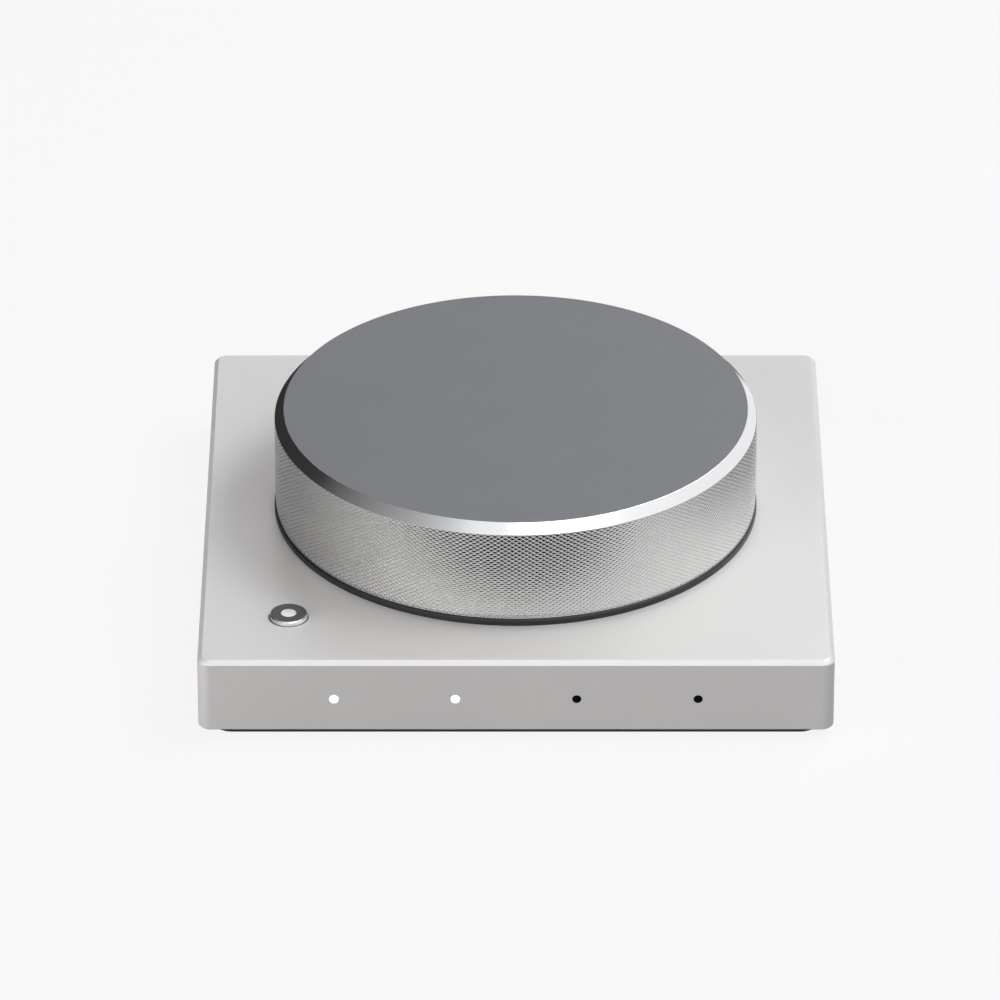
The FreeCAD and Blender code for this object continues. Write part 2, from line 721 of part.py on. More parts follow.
def make_disc_adhesive(doc):
    """The thin ring of adhesive film that holds the disc."""
    body = new_body(doc, "disc_adhesive", z="Places.recess_floor")
    turn_outline(body, "film", ring_corners("Sizes.adhesive_bore_radius",
                                            "Places.disc_radius - Sizes.adhesive_inset",
                                            "Sizes.adhesive_thickness"))
    return body


def make_hub_screws(doc):
    """Countersunk screws that hold the cup on the spindle's flange, driven from above."""
    body = new_body(doc, "hub_screws", z="Places.recess_floor")
    head = taper(body, "head", "Sizes.hub_screw_radius", "Sizes.hub_screw_head_radius",
                 "Sizes.hub_screw_head_height", x="Sizes.hub_screw_circle", z="-Sizes.hub_screw_head_height")
    shank = rod(body, "shank", "Sizes.hub_screw_radius", "Sizes.hub_screw_length",
                x="Sizes.hub_screw_circle", z="-Sizes.hub_screw_length")
    socket = hex_socket(body, "socket", "Sizes.hex_radius", "Sizes.hub_screw_head_height",
                        x="Sizes.hub_screw_circle", z="-Sizes.hub_screw_head_height")
    repeat_round(body, "circle", [head, shank, socket], "Sizes.hub_screw_count")
    return body


def make_spindle(doc):
    """The dial's shaft: a flange under the web, a shoulder on the upper race, and a clip groove."""
    body = new_body(doc, "spindle", z="Places.spindle_bottom")
    clip_low = "Sizes.spindle_lip"
    clip_high = "Sizes.spindle_lip + Sizes.clip_thickness"
    shoulder = "Places.carrier_top - Places.spindle_bottom"
    flange_low = "Places.flange_bottom - Places.spindle_bottom"
    flange_high = "Places.web_bottom - Places.spindle_bottom"
    shoulder_radius = "Places.bearing_bore_radius + Sizes.spindle_shoulder_width"
    turn_outline(body, "shaft", [
        ("0", "0"),
        ("Places.spindle_radius", "0"),
        ("Places.spindle_radius", clip_low),
        ("Places.groove_radius", clip_low),
        ("Places.groove_radius", clip_high),
        ("Places.spindle_radius", clip_high),
        ("Places.spindle_radius", shoulder),
        (shoulder_radius, shoulder),
        (shoulder_radius, flange_low),
        ("Sizes.spindle_flange_radius", flange_low),
        ("Sizes.spindle_flange_radius", flange_high),
        ("0", flange_high),
    ])
    rod(body, "magnet_pocket", "Sizes.magnet_radius + Sizes.seat_clearance", "Sizes.magnet_height", cut=True)
    thread = rod(body, "thread", "Sizes.hub_screw_radius + Sizes.thread_clearance",
                 "Sizes.spindle_flange_thickness", cut=True, x="Sizes.hub_screw_circle", z=flange_low)
    repeat_round(body, "threads", [thread], "Sizes.hub_screw_count")
    return body


def make_encoder_magnet(doc):
    """The magnet glued into the spindle's lower end."""
    body = new_body(doc, "encoder_magnet", z="Places.spindle_bottom")
    rod(body, "magnet", "Sizes.magnet_radius", "Sizes.magnet_height")
    return body


def make_retaining_ring(doc):
    """The spring clip in the spindle's groove: an open ring with two ears."""
    body = new_body(doc, "retaining_ring", z="Places.clip_bottom")
    inner = "Places.groove_radius + Sizes.seat_clearance"
    outer = inner + " + Sizes.clip_width"
    turn_outline(body, "ring", ring_corners(inner, outer, "Sizes.clip_thickness"))
    ear_x = "(Sizes.clip_gap / 2 + Sizes.clip_ear_radius)"
    ear_y = "-(%s)" % outer
    for side, sign in (("left", "-"), ("right", "")):
        rod(body, side + "_ear", "Sizes.clip_ear_radius", "Sizes.clip_thickness", x=sign + ear_x, y=ear_y)
    block(body, "opening", "Sizes.clip_gap", "Sizes.clip_width * 3", "Sizes.clip_thickness", cut=True,
          y=ear_y)
    for side, sign in (("left", "-"), ("right", "")):
        rod(body, side + "_ear_hole", "Sizes.clip_ear_hole_radius", "Sizes.clip_thickness", cut=True,
            x=sign + ear_x, y=ear_y)
    return body


def make_preload_washer(doc):
    """The curved spring washer between the clip and the lower inner race, bent about the X axis."""
    inner = "Places.spindle_radius + Sizes.washer_clearance"
    outer = inner + " + Sizes.washer_width"
    rise = "(Sizes.washer_height - Sizes.washer_thickness)"
    bend = "(pow(%s; 2) + pow(%s; 2)) / (2 * %s)" % (outer, rise, rise)
    shapes = {}
    for name, radius in (("disc", outer), ("eye", inner)):
        shapes[name] = bind(doc.addObject("Part::Cylinder", "washer_" + name), Radius=radius,
                            Height="Sizes.washer_height + %s * 2" % OVERRUN, z="-%s" % OVERRUN)
    for name, radius in (("crown", bend + " + Sizes.washer_thickness"), ("belly", bend)):
        bent = doc.addObject("Part::Cylinder", "washer_" + name)
        bent.Placement = FreeCAD.Placement(FreeCAD.Vector(), FreeCAD.Rotation(ALONG_Y, QUARTER_TURN))
        shapes[name] = bind(bent, Radius=radius, Height="(%s + %s) * 2" % (outer, OVERRUN),
                            x="-(%s + %s)" % (outer, OVERRUN),
                            z="Sizes.washer_height - Sizes.washer_thickness - %s" % bend)
    flat = doc.addObject("Part::Cut", "washer_flat")
    flat.Base = shapes["disc"]
    flat.Tool = shapes["eye"]
    sheet = doc.addObject("Part::Cut", "washer_sheet")
    sheet.Base = shapes["crown"]
    sheet.Tool = shapes["belly"]
    washer = doc.addObject("Part::Common", "preload_washer")
    washer.Base = flat
    washer.Tool = sheet
    return bind(washer, z="Places.washer_bottom")


def make_main_board(doc):
    """The circuit board, notched at its corners round the plate bosses."""
    body = new_body(doc, "main_board", z="Places.board_bottom")
    side = "Places.board_half * 2"
    block(body, "board", side, side, "Sizes.board_thickness")
    notch = rod(body, "notch", "Sizes.plate_boss_radius + Sizes.board_notch_clearance",
                "Sizes.board_thickness", cut=True, x="Places.plate_boss_place", y="Places.plate_boss_place")
    hole = rod(body, "hole", "Sizes.board_screw_radius + Sizes.thread_clearance", "Sizes.board_thickness",
               cut=True, x="Places.board_screw_place", y="Places.board_screw_place")
    repeat_round(body, "corners", [notch, hole], str(CORNERS))
    return body


def make_board_screws(doc):
    """Four screws that hold the board against its bosses, driven from below."""
    body = new_body(doc, "board_screws", z="Places.board_bottom")
    place = {"x": "Places.board_screw_place", "y": "Places.board_screw_place"}
    head = rod(body, "head", "Sizes.board_screw_head_radius", "Sizes.board_screw_head_height",
               z="-Sizes.board_screw_head_height", **place)
    shank = rod(body, "shank", "Sizes.board_screw_radius", "Sizes.board_screw_length", **place)
    repeat_round(body, "corners", [head, shank], str(CORNERS))
    return body


def make_board_block(doc, label, length, width, height, **place):
    """A plain moulded block that stands on the board."""
    body = new_body(doc, label, z="Places.board_top", **place)
    block(body, "case", length, width, height)
    return body


def make_small_board_parts(doc):
    """Two rows of small parts beside the controller, as separate solids."""
    body = new_body(doc, "small_board_parts", x="Places.controller_x", y="Sizes.controller_y",
                    z="Places.board_top")
    row_start = "-Sizes.chip_part_pitch * (Sizes.chip_part_count - 1) / 2"
    offset = "(Sizes.controller_side / 2 + Sizes.chip_part_spacing)"
    rows = []
    for side, sign in (("front", "-"), ("rear", "")):
        rows.append(block(body, side + "_part", "Sizes.chip_part_width", "Sizes.chip_part_length",
                          "Sizes.chip_part_height", x=row_start, y=sign + offset))
    repeat_in_row(body, "rows", rows, "Sizes.chip_part_pitch * (Sizes.chip_part_count - 1)",
                  "Sizes.chip_part_count")
    return body


def make_light_pipe(doc, number):
    """One of the light pipes, a clear rod with a collar behind the front wall."""
    along = "Sizes.light_pitch * (%d - (Sizes.light_count - 1) / 2)" % (number - 1)
    body = new_body(doc, "light_pipe_%d" % number)
    body.Placement = FreeCAD.Placement(FreeCAD.Vector(), FACING_FRONT)
    bind(body, x=along, y="-Places.light_inner", z="Places.light_line")
    collar = "Sizes.light_collar_length"
    length = "Sizes.base_wall + Sizes.light_collar_length"
    turn_outline(body, "pipe", [
        ("0", "0"),
        ("Sizes.light_collar_radius", "0"),
        ("Sizes.light_collar_radius", collar),
        ("Sizes.light_radius", collar),
        ("Sizes.light_radius", length),
        ("0", length),
    ])
    return body


def make_indicator_leds(doc):
    """The side-facing lights on the board's front edge, one behind each pipe."""
    body = new_body(doc, "indicator_leds", z="Places.board_top",
                    y="-(Places.light_inner - Sizes.led_gap - Sizes.led_depth / 2)")
    led = block(body, "led", "Sizes.led_width", "Sizes.led_depth", "Sizes.led_height",
                x="-Places.light_span / 2")
    repeat_in_row(body, "row", [led], "Places.light_span", "Sizes.light_count")
    return body


def make_usb_port_shell(doc):
    """The drawn metal shell of the port, open at the rear wall."""
    body = new_body(doc, "usb_port_shell", y="Places.usb_mouth - Sizes.usb_length / 2", z="Places.board_top")
    block(body, "outside", "Sizes.usb_width", "Sizes.usb_length", "Sizes.usb_height")
    inside = block(body, "inside", "Sizes.usb_width - Sizes.usb_wall * 2",
                   "Sizes.usb_length - Sizes.usb_back_wall", "Sizes.usb_height - Sizes.usb_wall * 2",
                   cut=True, y="Sizes.usb_back_wall / 2", z="Sizes.usb_wall")
    half_width = body.evalExpression("Sizes.usb_width / 2") - SAME

    def outside_corner(edge):
        """Tell whether an edge is one of the four long corners outside."""
        return runs_along(edge, ALONG_Y) and abs(edge.CenterOfMass.x) > half_width

    rounded = round_edges(body, "inside_corners", inside, "Sizes.usb_corner - Sizes.usb_wall",
                          lambda edge: runs_along(edge, ALONG_Y) and not outside_corner(edge))
    round_edges(body, "outside_corners", rounded, "Sizes.usb_corner", outside_corner)
    return body


def make_usb_port_tongue(doc):
    """The insulating tongue in the middle of the port."""
    body = new_body(doc, "usb_port_tongue", z="Places.usb_middle - Sizes.usb_tongue_thickness / 2",
                    y="Places.usb_mouth - Sizes.usb_length + Sizes.usb_back_wall")
    block(body, "tongue", "Sizes.usb_tongue_width", "Sizes.usb_tongue_length", "Sizes.usb_tongue_thickness",
          y="Sizes.usb_tongue_length / 2")
    return body


def make_usb_port_contacts(doc):
    """The contacts on both faces of the tongue, as separate solids."""
    body = new_body(doc, "usb_port_contacts", z="Places.usb_middle",
                    y="Places.usb_mouth - Sizes.usb_length + Sizes.usb_back_wall")
    span = "Sizes.usb_contact_pitch * (Sizes.usb_contact_count - 1)"
    faces = {"upper": "Sizes.usb_tongue_thickness / 2",
             "lower": "-Sizes.usb_tongue_thickness / 2 - Sizes.usb_contact_thickness"}
    contacts = [block(body, face + "_contact", "Sizes.usb_contact_width", "Sizes.usb_contact_length",
                      "Sizes.usb_contact_thickness", x="-(%s) / 2" % span,
                      y="Sizes.usb_contact_length / 2", z=height)
                for face, height in faces.items()]
    repeat_in_row(body, "rows", contacts, span, "Sizes.usb_contact_count")
    return body


def make_button_cap(doc):
    """The button's metal cap, with a flange under the deck and an arm that reaches the switch."""
    body = new_body(doc, "button_cap", x="Places.button_x", y="Places.button_y", z="Places.flange_underside")
    hole = "Sizes.lens_radius + Sizes.seat_clearance"
    flange = "Sizes.button_flange_thickness"
    top = "Places.button_top - Places.flange_underside"
    face_low = top + " - Sizes.button_face_thickness"
    face_hole = "Places.button_face_radius + Sizes.seat_clearance"
    turn_outline(body, "cap", [
        (hole, "0"),
        ("Places.button_flange_radius", "0"),
        ("Places.button_flange_radius", flange),
        ("Sizes.button_radius", flange),
        ("Sizes.button_radius", top + " - Sizes.button_edge_chamfer"),
        ("Sizes.button_radius - Sizes.button_edge_chamfer", top),
        (face_hole, top),
        (face_hole, face_low),
        (hole, face_low),
    ])
    start = "Places.button_flange_radius * %s" % ARM_ROOT_SHARE
    block(body, "arm", "Places.arm_length - %s" % start, "Sizes.arm_width", flange,
          x="(Places.arm_length + %s) / 2" % start)
    return body


def make_button_face(doc):
    """The dark ring set into the cap."""
    body = new_body(doc, "button_face", x="Places.button_x", y="Places.button_y",
                    z="Places.button_top - Sizes.button_face_thickness")
    turn_outline(body, "face", ring_corners("Sizes.lens_radius + Sizes.seat_clearance",
                                            "Places.button_face_radius", "Sizes.button_face_thickness"))
    return body


def make_button_lens(doc):
    """The light guide whose top is the white dot of the button."""
    body = new_body(doc, "button_lens", x="Places.button_x", y="Places.button_y", z="Places.lens_bottom")
    rod(body, "guide", "Sizes.lens_radius", "Places.button_top - Places.lens_bottom")
    return body


def make_switch_body(doc):
    """The small push switch beside the button, under its arm."""
    body = new_body(doc, "switch_body", x="Places.switch_x", y="Places.button_y", z="Places.board_top")
    case = block(body, "case", "Sizes.switch_side", "Sizes.switch_side", "Sizes.switch_height")
    round_edges(body, "case_corners", case, "Sizes.switch_corner", lambda edge: runs_along(edge, ALONG_Z))
    rod(body, "well", "Sizes.plunger_radius + Sizes.slide_clearance",
        "Sizes.plunger_depth + Sizes.button_travel + Sizes.slide_clearance", cut=True,
        z="Sizes.switch_height - Sizes.plunger_depth - Sizes.button_travel - Sizes.slide_clearance")
    return body


def make_switch_plunger(doc):
    """The switch's plunger, from its well up to the button's arm."""
    bottom = "Places.board_top + Sizes.switch_height - Sizes.plunger_depth"
    body = new_body(doc, "switch_plunger", x="Places.switch_x", y="Places.button_y", z=bottom)
    rod(body, "plunger", "Sizes.plunger_radius", "Places.flange_underside - (%s)" % bottom)
    return body


def make_button_spring(doc):
    """The coil spring round the light guide, from the board up to the flange."""
    body = new_body(doc, "button_spring", x="Places.button_x", y="Places.button_y", z="Places.board_top")
    sketch = body.newObject("Sketcher::SketchObject", "wire")
    sketch.AttachmentSupport = [(origin_feature(body, "XZ_Plane"), "")]
    sketch.MapMode = "FlatFace"
    radius = sketch.evalExpression("Sizes.spring_radius")
    half_wire = sketch.evalExpression("Sizes.spring_wire / 2")
    sketch.addGeometry(Part.Circle(FreeCAD.Vector(radius, half_wire, 0), ALONG_Z, half_wire))
    for kind, place, expression in (("DistanceX", [0, 3], "Sizes.spring_radius"),
                                    ("DistanceY", [0, 3], "Sizes.spring_wire / 2"),
                                    ("Radius", [0], "Sizes.spring_wire / 2")):
        length = sketch.evalExpression(expression)
        number = sketch.addConstraint(Sketcher.Constraint(kind, *place, length))
        sketch.setExpression("Constraints[%d]" % number, expression)
    coil = body.newObject("PartDesign::AdditiveHelix", "coil")
    coil.Profile = sketch
    coil.ReferenceAxis = (sketch, ["V_Axis"])
    coil.Mode = "pitch-height-angle"
    coil.Angle = 0
    bind(coil, Pitch="Sizes.spring_pitch",
         Height="Places.flange_underside - Places.board_top - Sizes.spring_wire")
    sketch.Visibility = False
    return body


def make_pieces(doc):
    """Return every piece of the object."""
    pieces = [
        make_foot_pad(doc),
        make_bottom_plate(doc),
        make_bottom_plate_screws(doc),
        make_base_shell(doc),
        make_plinth_ring(doc),
        make_bearing_carrier(doc),
        make_carrier_screws(doc),
        make_dial_shell(doc),
        make_dial_top_disc(doc),
        make_disc_adhesive(doc),
        make_hub_screws(doc),
        make_spindle(doc),
        make_encoder_magnet(doc),
        make_retaining_ring(doc),
        make_preload_washer(doc),
        make_main_board(doc),
        make_board_screws(doc),
        make_board_block(doc, "encoder_chip", "Sizes.encoder_length", "Sizes.encoder_width",
                         "Sizes.encoder_height"),
        make_board_block(doc, "controller_chip", "Sizes.controller_side", "Sizes.controller_side",
                         "Sizes.controller_height", x="Places.controller_x", y="Sizes.controller_y"),
        make_board_block(doc, "clock_crystal", "Sizes.crystal_width", "Sizes.crystal_length",
                         "Sizes.crystal_height", y="Sizes.controller_y",
                         x="Places.controller_x - (Sizes.controller_side + Sizes.crystal_width) / 2"
                           " - Sizes.crystal_spacing"),
        make_small_board_parts(doc),
        make_indicator_leds(doc),
        make_usb_port_shell(doc),
        make_usb_port_tongue(doc),
        make_usb_port_contacts(doc),
        make_board_block(doc, "button_led", "Sizes.button_led_length", "Sizes.button_led_width",
                         "Sizes.button_led_height", x="Places.button_x", y="Places.button_y"),
        make_switch_body(doc),
        make_switch_plunger(doc),
        make_button_cap(doc),
        make_button_face(doc),
        make_button_lens(doc),
        make_button_spring(doc),
    ]
    pieces += make_bearing(doc, "lower", "Places.lower_bearing")
    pieces += make_bearing(doc, "upper", "Places.upper_bearing")
    pieces += [make_light_pipe(doc, number + 1) for number in range(SIZES["light_count"])]
    return pieces


def check_document(doc, pieces):
    """Stop with a message if any object failed or any piece isn't a valid solid."""
    for item in doc.Objects:
        if "Invalid" in item.State or "Error" in item.State:
            raise RuntimeError("%s failed: %s" % (item.Name, item.State))
    for piece in pieces:
        if piece.Shape.isNull() or not piece.Shape.isValid() or not piece.Shape.Solids:
            raise RuntimeError("%s has no valid solid" % piece.Label)


def main():
    """Build the object and write each piece to a file of its own name."""
    doc = FreeCAD.newDocument("usb_volume_control_knob")
    fill_sheet(doc, "Sizes", SIZES)
    fill_sheet(doc, "Places", PLACES)
    doc.recompute()
    pieces = make_pieces(doc)
    doc.recompute()
    check_document(doc, pieces)
    os.makedirs("parts", exist_ok=True)
    for piece in pieces:
        piece.Shape.exportStep(os.path.join("parts", piece.Label + ".step"))
        print("%-20s %2d solids %10.2f mm3" % (piece.Label, len(piece.Shape.Solids), piece.Shape.Volume))


main()
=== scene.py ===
"""Studio scene of a USB volume control knob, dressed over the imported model.

The row frame has +Z up and the lights of the base towards -Y, with the origin on the desk under the middle of
the base. Meshes are drawn in millimetres and scaled to metres when they become pieces.
"""

import logging
import math
from dataclasses import dataclass
from enum import Enum
from typing import Callable, ClassVar, Iterable, Optional, Sequence, Union

import bmesh
import bpy
from mathutils import Matrix, Vector


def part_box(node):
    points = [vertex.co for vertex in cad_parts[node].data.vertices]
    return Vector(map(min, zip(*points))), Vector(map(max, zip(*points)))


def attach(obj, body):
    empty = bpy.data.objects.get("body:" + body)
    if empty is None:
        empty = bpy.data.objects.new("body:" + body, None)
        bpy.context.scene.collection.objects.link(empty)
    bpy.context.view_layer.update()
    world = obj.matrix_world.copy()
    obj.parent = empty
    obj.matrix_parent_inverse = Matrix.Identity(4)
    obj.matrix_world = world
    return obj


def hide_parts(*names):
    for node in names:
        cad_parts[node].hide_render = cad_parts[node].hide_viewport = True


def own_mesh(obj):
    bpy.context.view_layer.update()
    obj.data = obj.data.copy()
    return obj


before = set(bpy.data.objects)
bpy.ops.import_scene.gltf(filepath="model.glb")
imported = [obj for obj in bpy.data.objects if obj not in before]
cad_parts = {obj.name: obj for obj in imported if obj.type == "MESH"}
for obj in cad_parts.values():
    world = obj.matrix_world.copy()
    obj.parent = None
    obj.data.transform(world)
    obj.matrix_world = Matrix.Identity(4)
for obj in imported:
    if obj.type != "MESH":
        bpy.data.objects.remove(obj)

LOG = logging.getLogger("knob_scene")

MM = 0.001
FULL_TURN = 2.0 * math.pi
NEAR = 0.002
OVERRUN = 1.0
SHARP_ANGLE = 35.0

Colour = tuple[int, int, int]
Triple = tuple[float, float, float]
Profile = Sequence[tuple[float, float]]
EdgeTest = Callable[[bmesh.types.BMEdge], bool]
Feed = Union[bpy.types.NodeSocket, float, Triple, tuple[float, float, float, float]]


def linear(colour: Colour) -> tuple[float, float, float, float]:
    """Turn a screen colour into the linear colour that shaders take.

    Args:
        colour: Red, green and blue from 0 to 255.

    Returns:
        The linear colour with an alpha of one.
    """
    parts = [part / 255.0 for part in colour]
    straight = [part / 12.92 if part <= 0.04045 else ((part + 0.055) / 1.055) ** 2.4 for part in parts]
    return (*straight, 1.0)


def span(node: str) -> tuple[Vector, Vector]:
    """Give the lowest and highest corners of a CAD node, in millimetres.

    Args:
        node: The name of the node.

    Returns:
        Both corners.
    """
    low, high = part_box(node)
    return low / MM, high / MM


# ---------------------------------------------------------------------------------------------------------
# Meshes
# ---------------------------------------------------------------------------------------------------------


class Combine(Enum):
    """How one solid changes another."""

    CUT = "DIFFERENCE"
    ADD = "UNION"


def level(height: float) -> EdgeTest:
    """Make a test for edges that lie at one height.

    Args:
        height: The height in millimetres.

    Returns:
        The test.
    """
    return lambda edge: all(abs(vert.co.z - height) < NEAR for vert in edge.verts)


def upright(edge: bmesh.types.BMEdge) -> bool:
    """Tell whether an edge stands along Z."""
    start, end = (vert.co for vert in edge.verts)
    return (start.xy - end.xy).length < NEAR < abs(start.z - end.z)


def sharp(edge: bmesh.types.BMEdge) -> bool:
    """Tell whether the two faces of an edge meet at a sharp angle."""
    return len(edge.link_faces) == 2 and edge.calc_face_angle(0.0) > math.radians(SHARP_ANGLE)


class Blank:
    """A solid in the making, drawn in millimetres with mesh operators."""

    def __init__(self) -> None:
        """Start with an empty mesh."""
        self.bm = bmesh.new()

    @classmethod
    def turned(cls, profile: Profile, steps: int = 128) -> "Blank":
        """Turn a profile about the Z axis.

        Args:
            profile: Radius and height of each corner, in order round the section.
            steps: Steps in the full turn.

        Returns:
            The turned solid.
        """
        blank = cls()
        verts = [blank.bm.verts.new((radius, 0.0, height)) for radius, height in profile]
        ends = zip(verts, verts[1:] + verts[:1])
        edges = [blank.bm.edges.new(pair) for pair in ends if any(vert.co.x > NEAR for vert in pair)]
        bmesh.ops.spin(blank.bm, geom=verts + edges, cent=(0.0, 0.0, 0.0), axis=(0.0, 0.0, 1.0),
                       angle=FULL_TURN, steps=steps, use_merge=True)
        return blank.healed()

    @classmethod
    def rod(cls, radius: float, low: float, high: float, steps: int = 128) -> "Blank":
        """Turn a plain rod on the Z axis, from one height to another."""
        return cls.turned([(0, low), (radius, low), (radius, high), (0, high)], steps)

    @classmethod
    def block(cls, low: Triple, high: Triple) -> "Blank":
        """Make a plain box between two corners, ready to be shaped.

        Args:
            low: The lowest corner.
            high: The highest corner.

        Returns:
            The box.
        """
        blank = cls()
        bmesh.ops.create_cube(blank.bm, size=1.0)
        size = [b - a for a, b in zip(low, high)]
        middle = [(a + b) / 2 for a, b in zip(low, high)]
        bmesh.ops.scale(blank.bm, vec=size, verts=blank.bm.verts)
        return blank.moved(middle)

    def healed(self) -> "Blank":
        """Merge what lies on itself and point all faces outwards."""
        bmesh.ops.remove_doubles(self.bm, verts=self.bm.verts, dist=NEAR / 4)
        bmesh.ops.recalc_face_normals(self.bm, faces=self.bm.faces)
        return self

    def moved(self, by: Sequence[float]) -> "Blank":
        """Move the whole solid."""
        bmesh.ops.translate(self.bm, vec=by, verts=self.bm.verts)
        return self

    def tipped(self, axis: str, degrees: float) -> "Blank":
        """Turn the whole solid about an axis through the origin."""
        turn = Matrix.Rotation(math.radians(degrees), 3, axis)
        bmesh.ops.rotate(self.bm, cent=(0.0, 0.0, 0.0), matrix=turn, verts=self.bm.verts)
        return self

    def bevelled(self, wanted: EdgeTest, width: float, segments: int = 2) -> "Blank":
        """Round or chamfer edges.

        Args:
            wanted: The test for the edges.
            width: How far the bevel reaches from the edge.
            segments: Faces across the bevel; one makes a flat chamfer.

        Returns:
            The solid itself.
        """
        edges = [edge for edge in self.bm.edges if wanted(edge)]
        bmesh.ops.bevel(self.bm, geom=edges, offset=width, offset_type="OFFSET", segments=segments, profile=0.5,
                        affect="EDGES", material=-1, clamp_overlap=True)
        return self

    def repeated(self, count: int) -> "Blank":
        """Repeat the solid evenly about the Z axis.

        Args:
            count: How many there are in the end.

        Returns:
            The solid itself.
        """
        source = list(self.bm.verts) + list(self.bm.edges) + list(self.bm.faces)
        for number in range(1, count):
            copy = bmesh.ops.duplicate(self.bm, geom=source)["geom"]
            verts = [item for item in copy if isinstance(item, bmesh.types.BMVert)]
            turn = Matrix.Rotation(FULL_TURN * number / count, 3, "Z")
            bmesh.ops.rotate(self.bm, cent=(0.0, 0.0, 0.0), matrix=turn, verts=verts)
        return self

    def _as_object(self, name: str) -> bpy.types.Object:
        """Put the mesh on a passing object in the scene."""
        mesh = bpy.data.meshes.new(name)
        self.bm.to_mesh(mesh)
        item = bpy.data.objects.new(name, mesh)
        bpy.context.collection.objects.link(item)
        return item

    def combined(self, tool: "Blank", how: Combine) -> "Blank":
        """Cut another solid out of this one, or add it.

        Args:
            tool: The other solid, which is used up.
            how: Whether it is cut out or added.

        Returns:
            The solid itself.
        """
        target, other = self._as_object("target"), tool._as_object("tool")
        modifier = target.modifiers.new("combine", "BOOLEAN")
        modifier.operation = how.value
        modifier.solver = "EXACT"
        modifier.object = other
        depsgraph = bpy.context.evaluated_depsgraph_get()
        mesh = bpy.data.meshes.new_from_object(target.evaluated_get(depsgraph))
        self.bm.clear()
        self.bm.from_mesh(mesh)
        for item in (target, other):
            used = item.data
            bpy.data.objects.remove(item)
            bpy.data.meshes.remove(used)
        bpy.data.meshes.remove(mesh)
        tool.bm.free()
        return self.healed()

    def piece(self, name: str, finishes: Sequence["Finish"], body: str, slot: str,
              nodes: Sequence[str] = (), crease: float = 50.0) -> bpy.types.Object:
        """Finish the mesh as a piece of the object.

        Args:
            name: The piece's name.
            finishes: Its finishes, in the order of its faces' material numbers.
            body: The body that it rides on.
            slot: Not used.
            nodes: The CAD nodes that it stands for.
            crease: The angle in degrees from which two faces meet in a hard edge.

        Returns:
            The piece.
        """
        bmesh.ops.scale(self.bm, vec=(MM, MM, MM), verts=self.bm.verts)
        mesh = bpy.data.meshes.new(name)
        self.bm.to_mesh(mesh)
        self.bm.free()
        mesh.shade_smooth()
        mesh.set_sharp_from_angle(angle=math.radians(crease))
        item = bpy.data.objects.new(name, mesh)
        bpy.context.collection.objects.link(item)
        for finish in finishes:
            mesh.materials.append(finish.material())
        weigh = item.modifiers.new("even_normals", "WEIGHTED_NORMAL")
        weigh.keep_sharp = True
        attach(item, body)
        if nodes:
            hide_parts(*nodes)
        LOG.info("%s: %d faces on %s", name, len(mesh.polygons), body)
        return item


# ---------------------------------------------------------------------------------------------------------
# Finishes
# ---------------------------------------------------------------------------------------------------------


class Graph:
    """Adds nodes to one node tree and joins them."""

    def __init__(self, tree: bpy.types.NodeTree) -> None:
        """Work on that tree."""
        self.tree = tree

    def add(self, kind: str, inputs: Optional[dict[Union[str, int], Feed]] = None,
            **settings: object) -> bpy.types.Node:
        """Add a node.

        Args:
            kind: The node's type without its ShaderNode prefix.
            inputs: What each input gets: an output of another node, or a fixed value.
            **settings: The node's own properties.

        Returns:
            The node.
        """
        node = self.tree.nodes.new("ShaderNode" + kind)
        for name, value in settings.items():
            setattr(node, name, value)
        for key, value in (inputs or {}).items():
            self.feed(value, node.inputs[key])
        return node

    def feed(self, value: Feed, socket: bpy.types.NodeSocket) -> None:
        """Join an output to a socket, or set the socket to a fixed value."""
        if isinstance(value, bpy.types.NodeSocket):
            self.tree.links.new(value, socket)
        else:
            socket.default_value = value

    def surface(self, shader: bpy.types.Node) -> None:
        """Make a shader the surface of this material."""
        self.feed(shader.outputs[0], self.tree.nodes["Material Output"].inputs["Surface"])

    def math(self, operation: str, *values: Feed, clamp: bool = False) -> bpy.types.NodeSocket:
        """Add a Math node and give its result."""
        inputs = dict(enumerate(values))
        return self.add("Math", inputs, operation=operation, use_clamp=clamp).outputs[0]

    def blend(self, factor: Feed, first: Feed, second: Feed) -> bpy.types.NodeSocket:
        """Mix two colours and give the result."""
        node = self.add("Mix", data_type="RGBA")
        for value, socket in ((factor, node.inputs[0]), (first, node.inputs[6]), (second, node.inputs[7])):
            self.feed(value, socket)
        return node.outputs[2]

    def between(self, value: Feed, low: Feed, high: Feed) -> bpy.types.NodeSocket:
        """Carry a value from nought to one over to the range between low and high."""
        return self.add("MapRange", {"Value": value, "To Min": low, "To Max": high}).outputs[0]


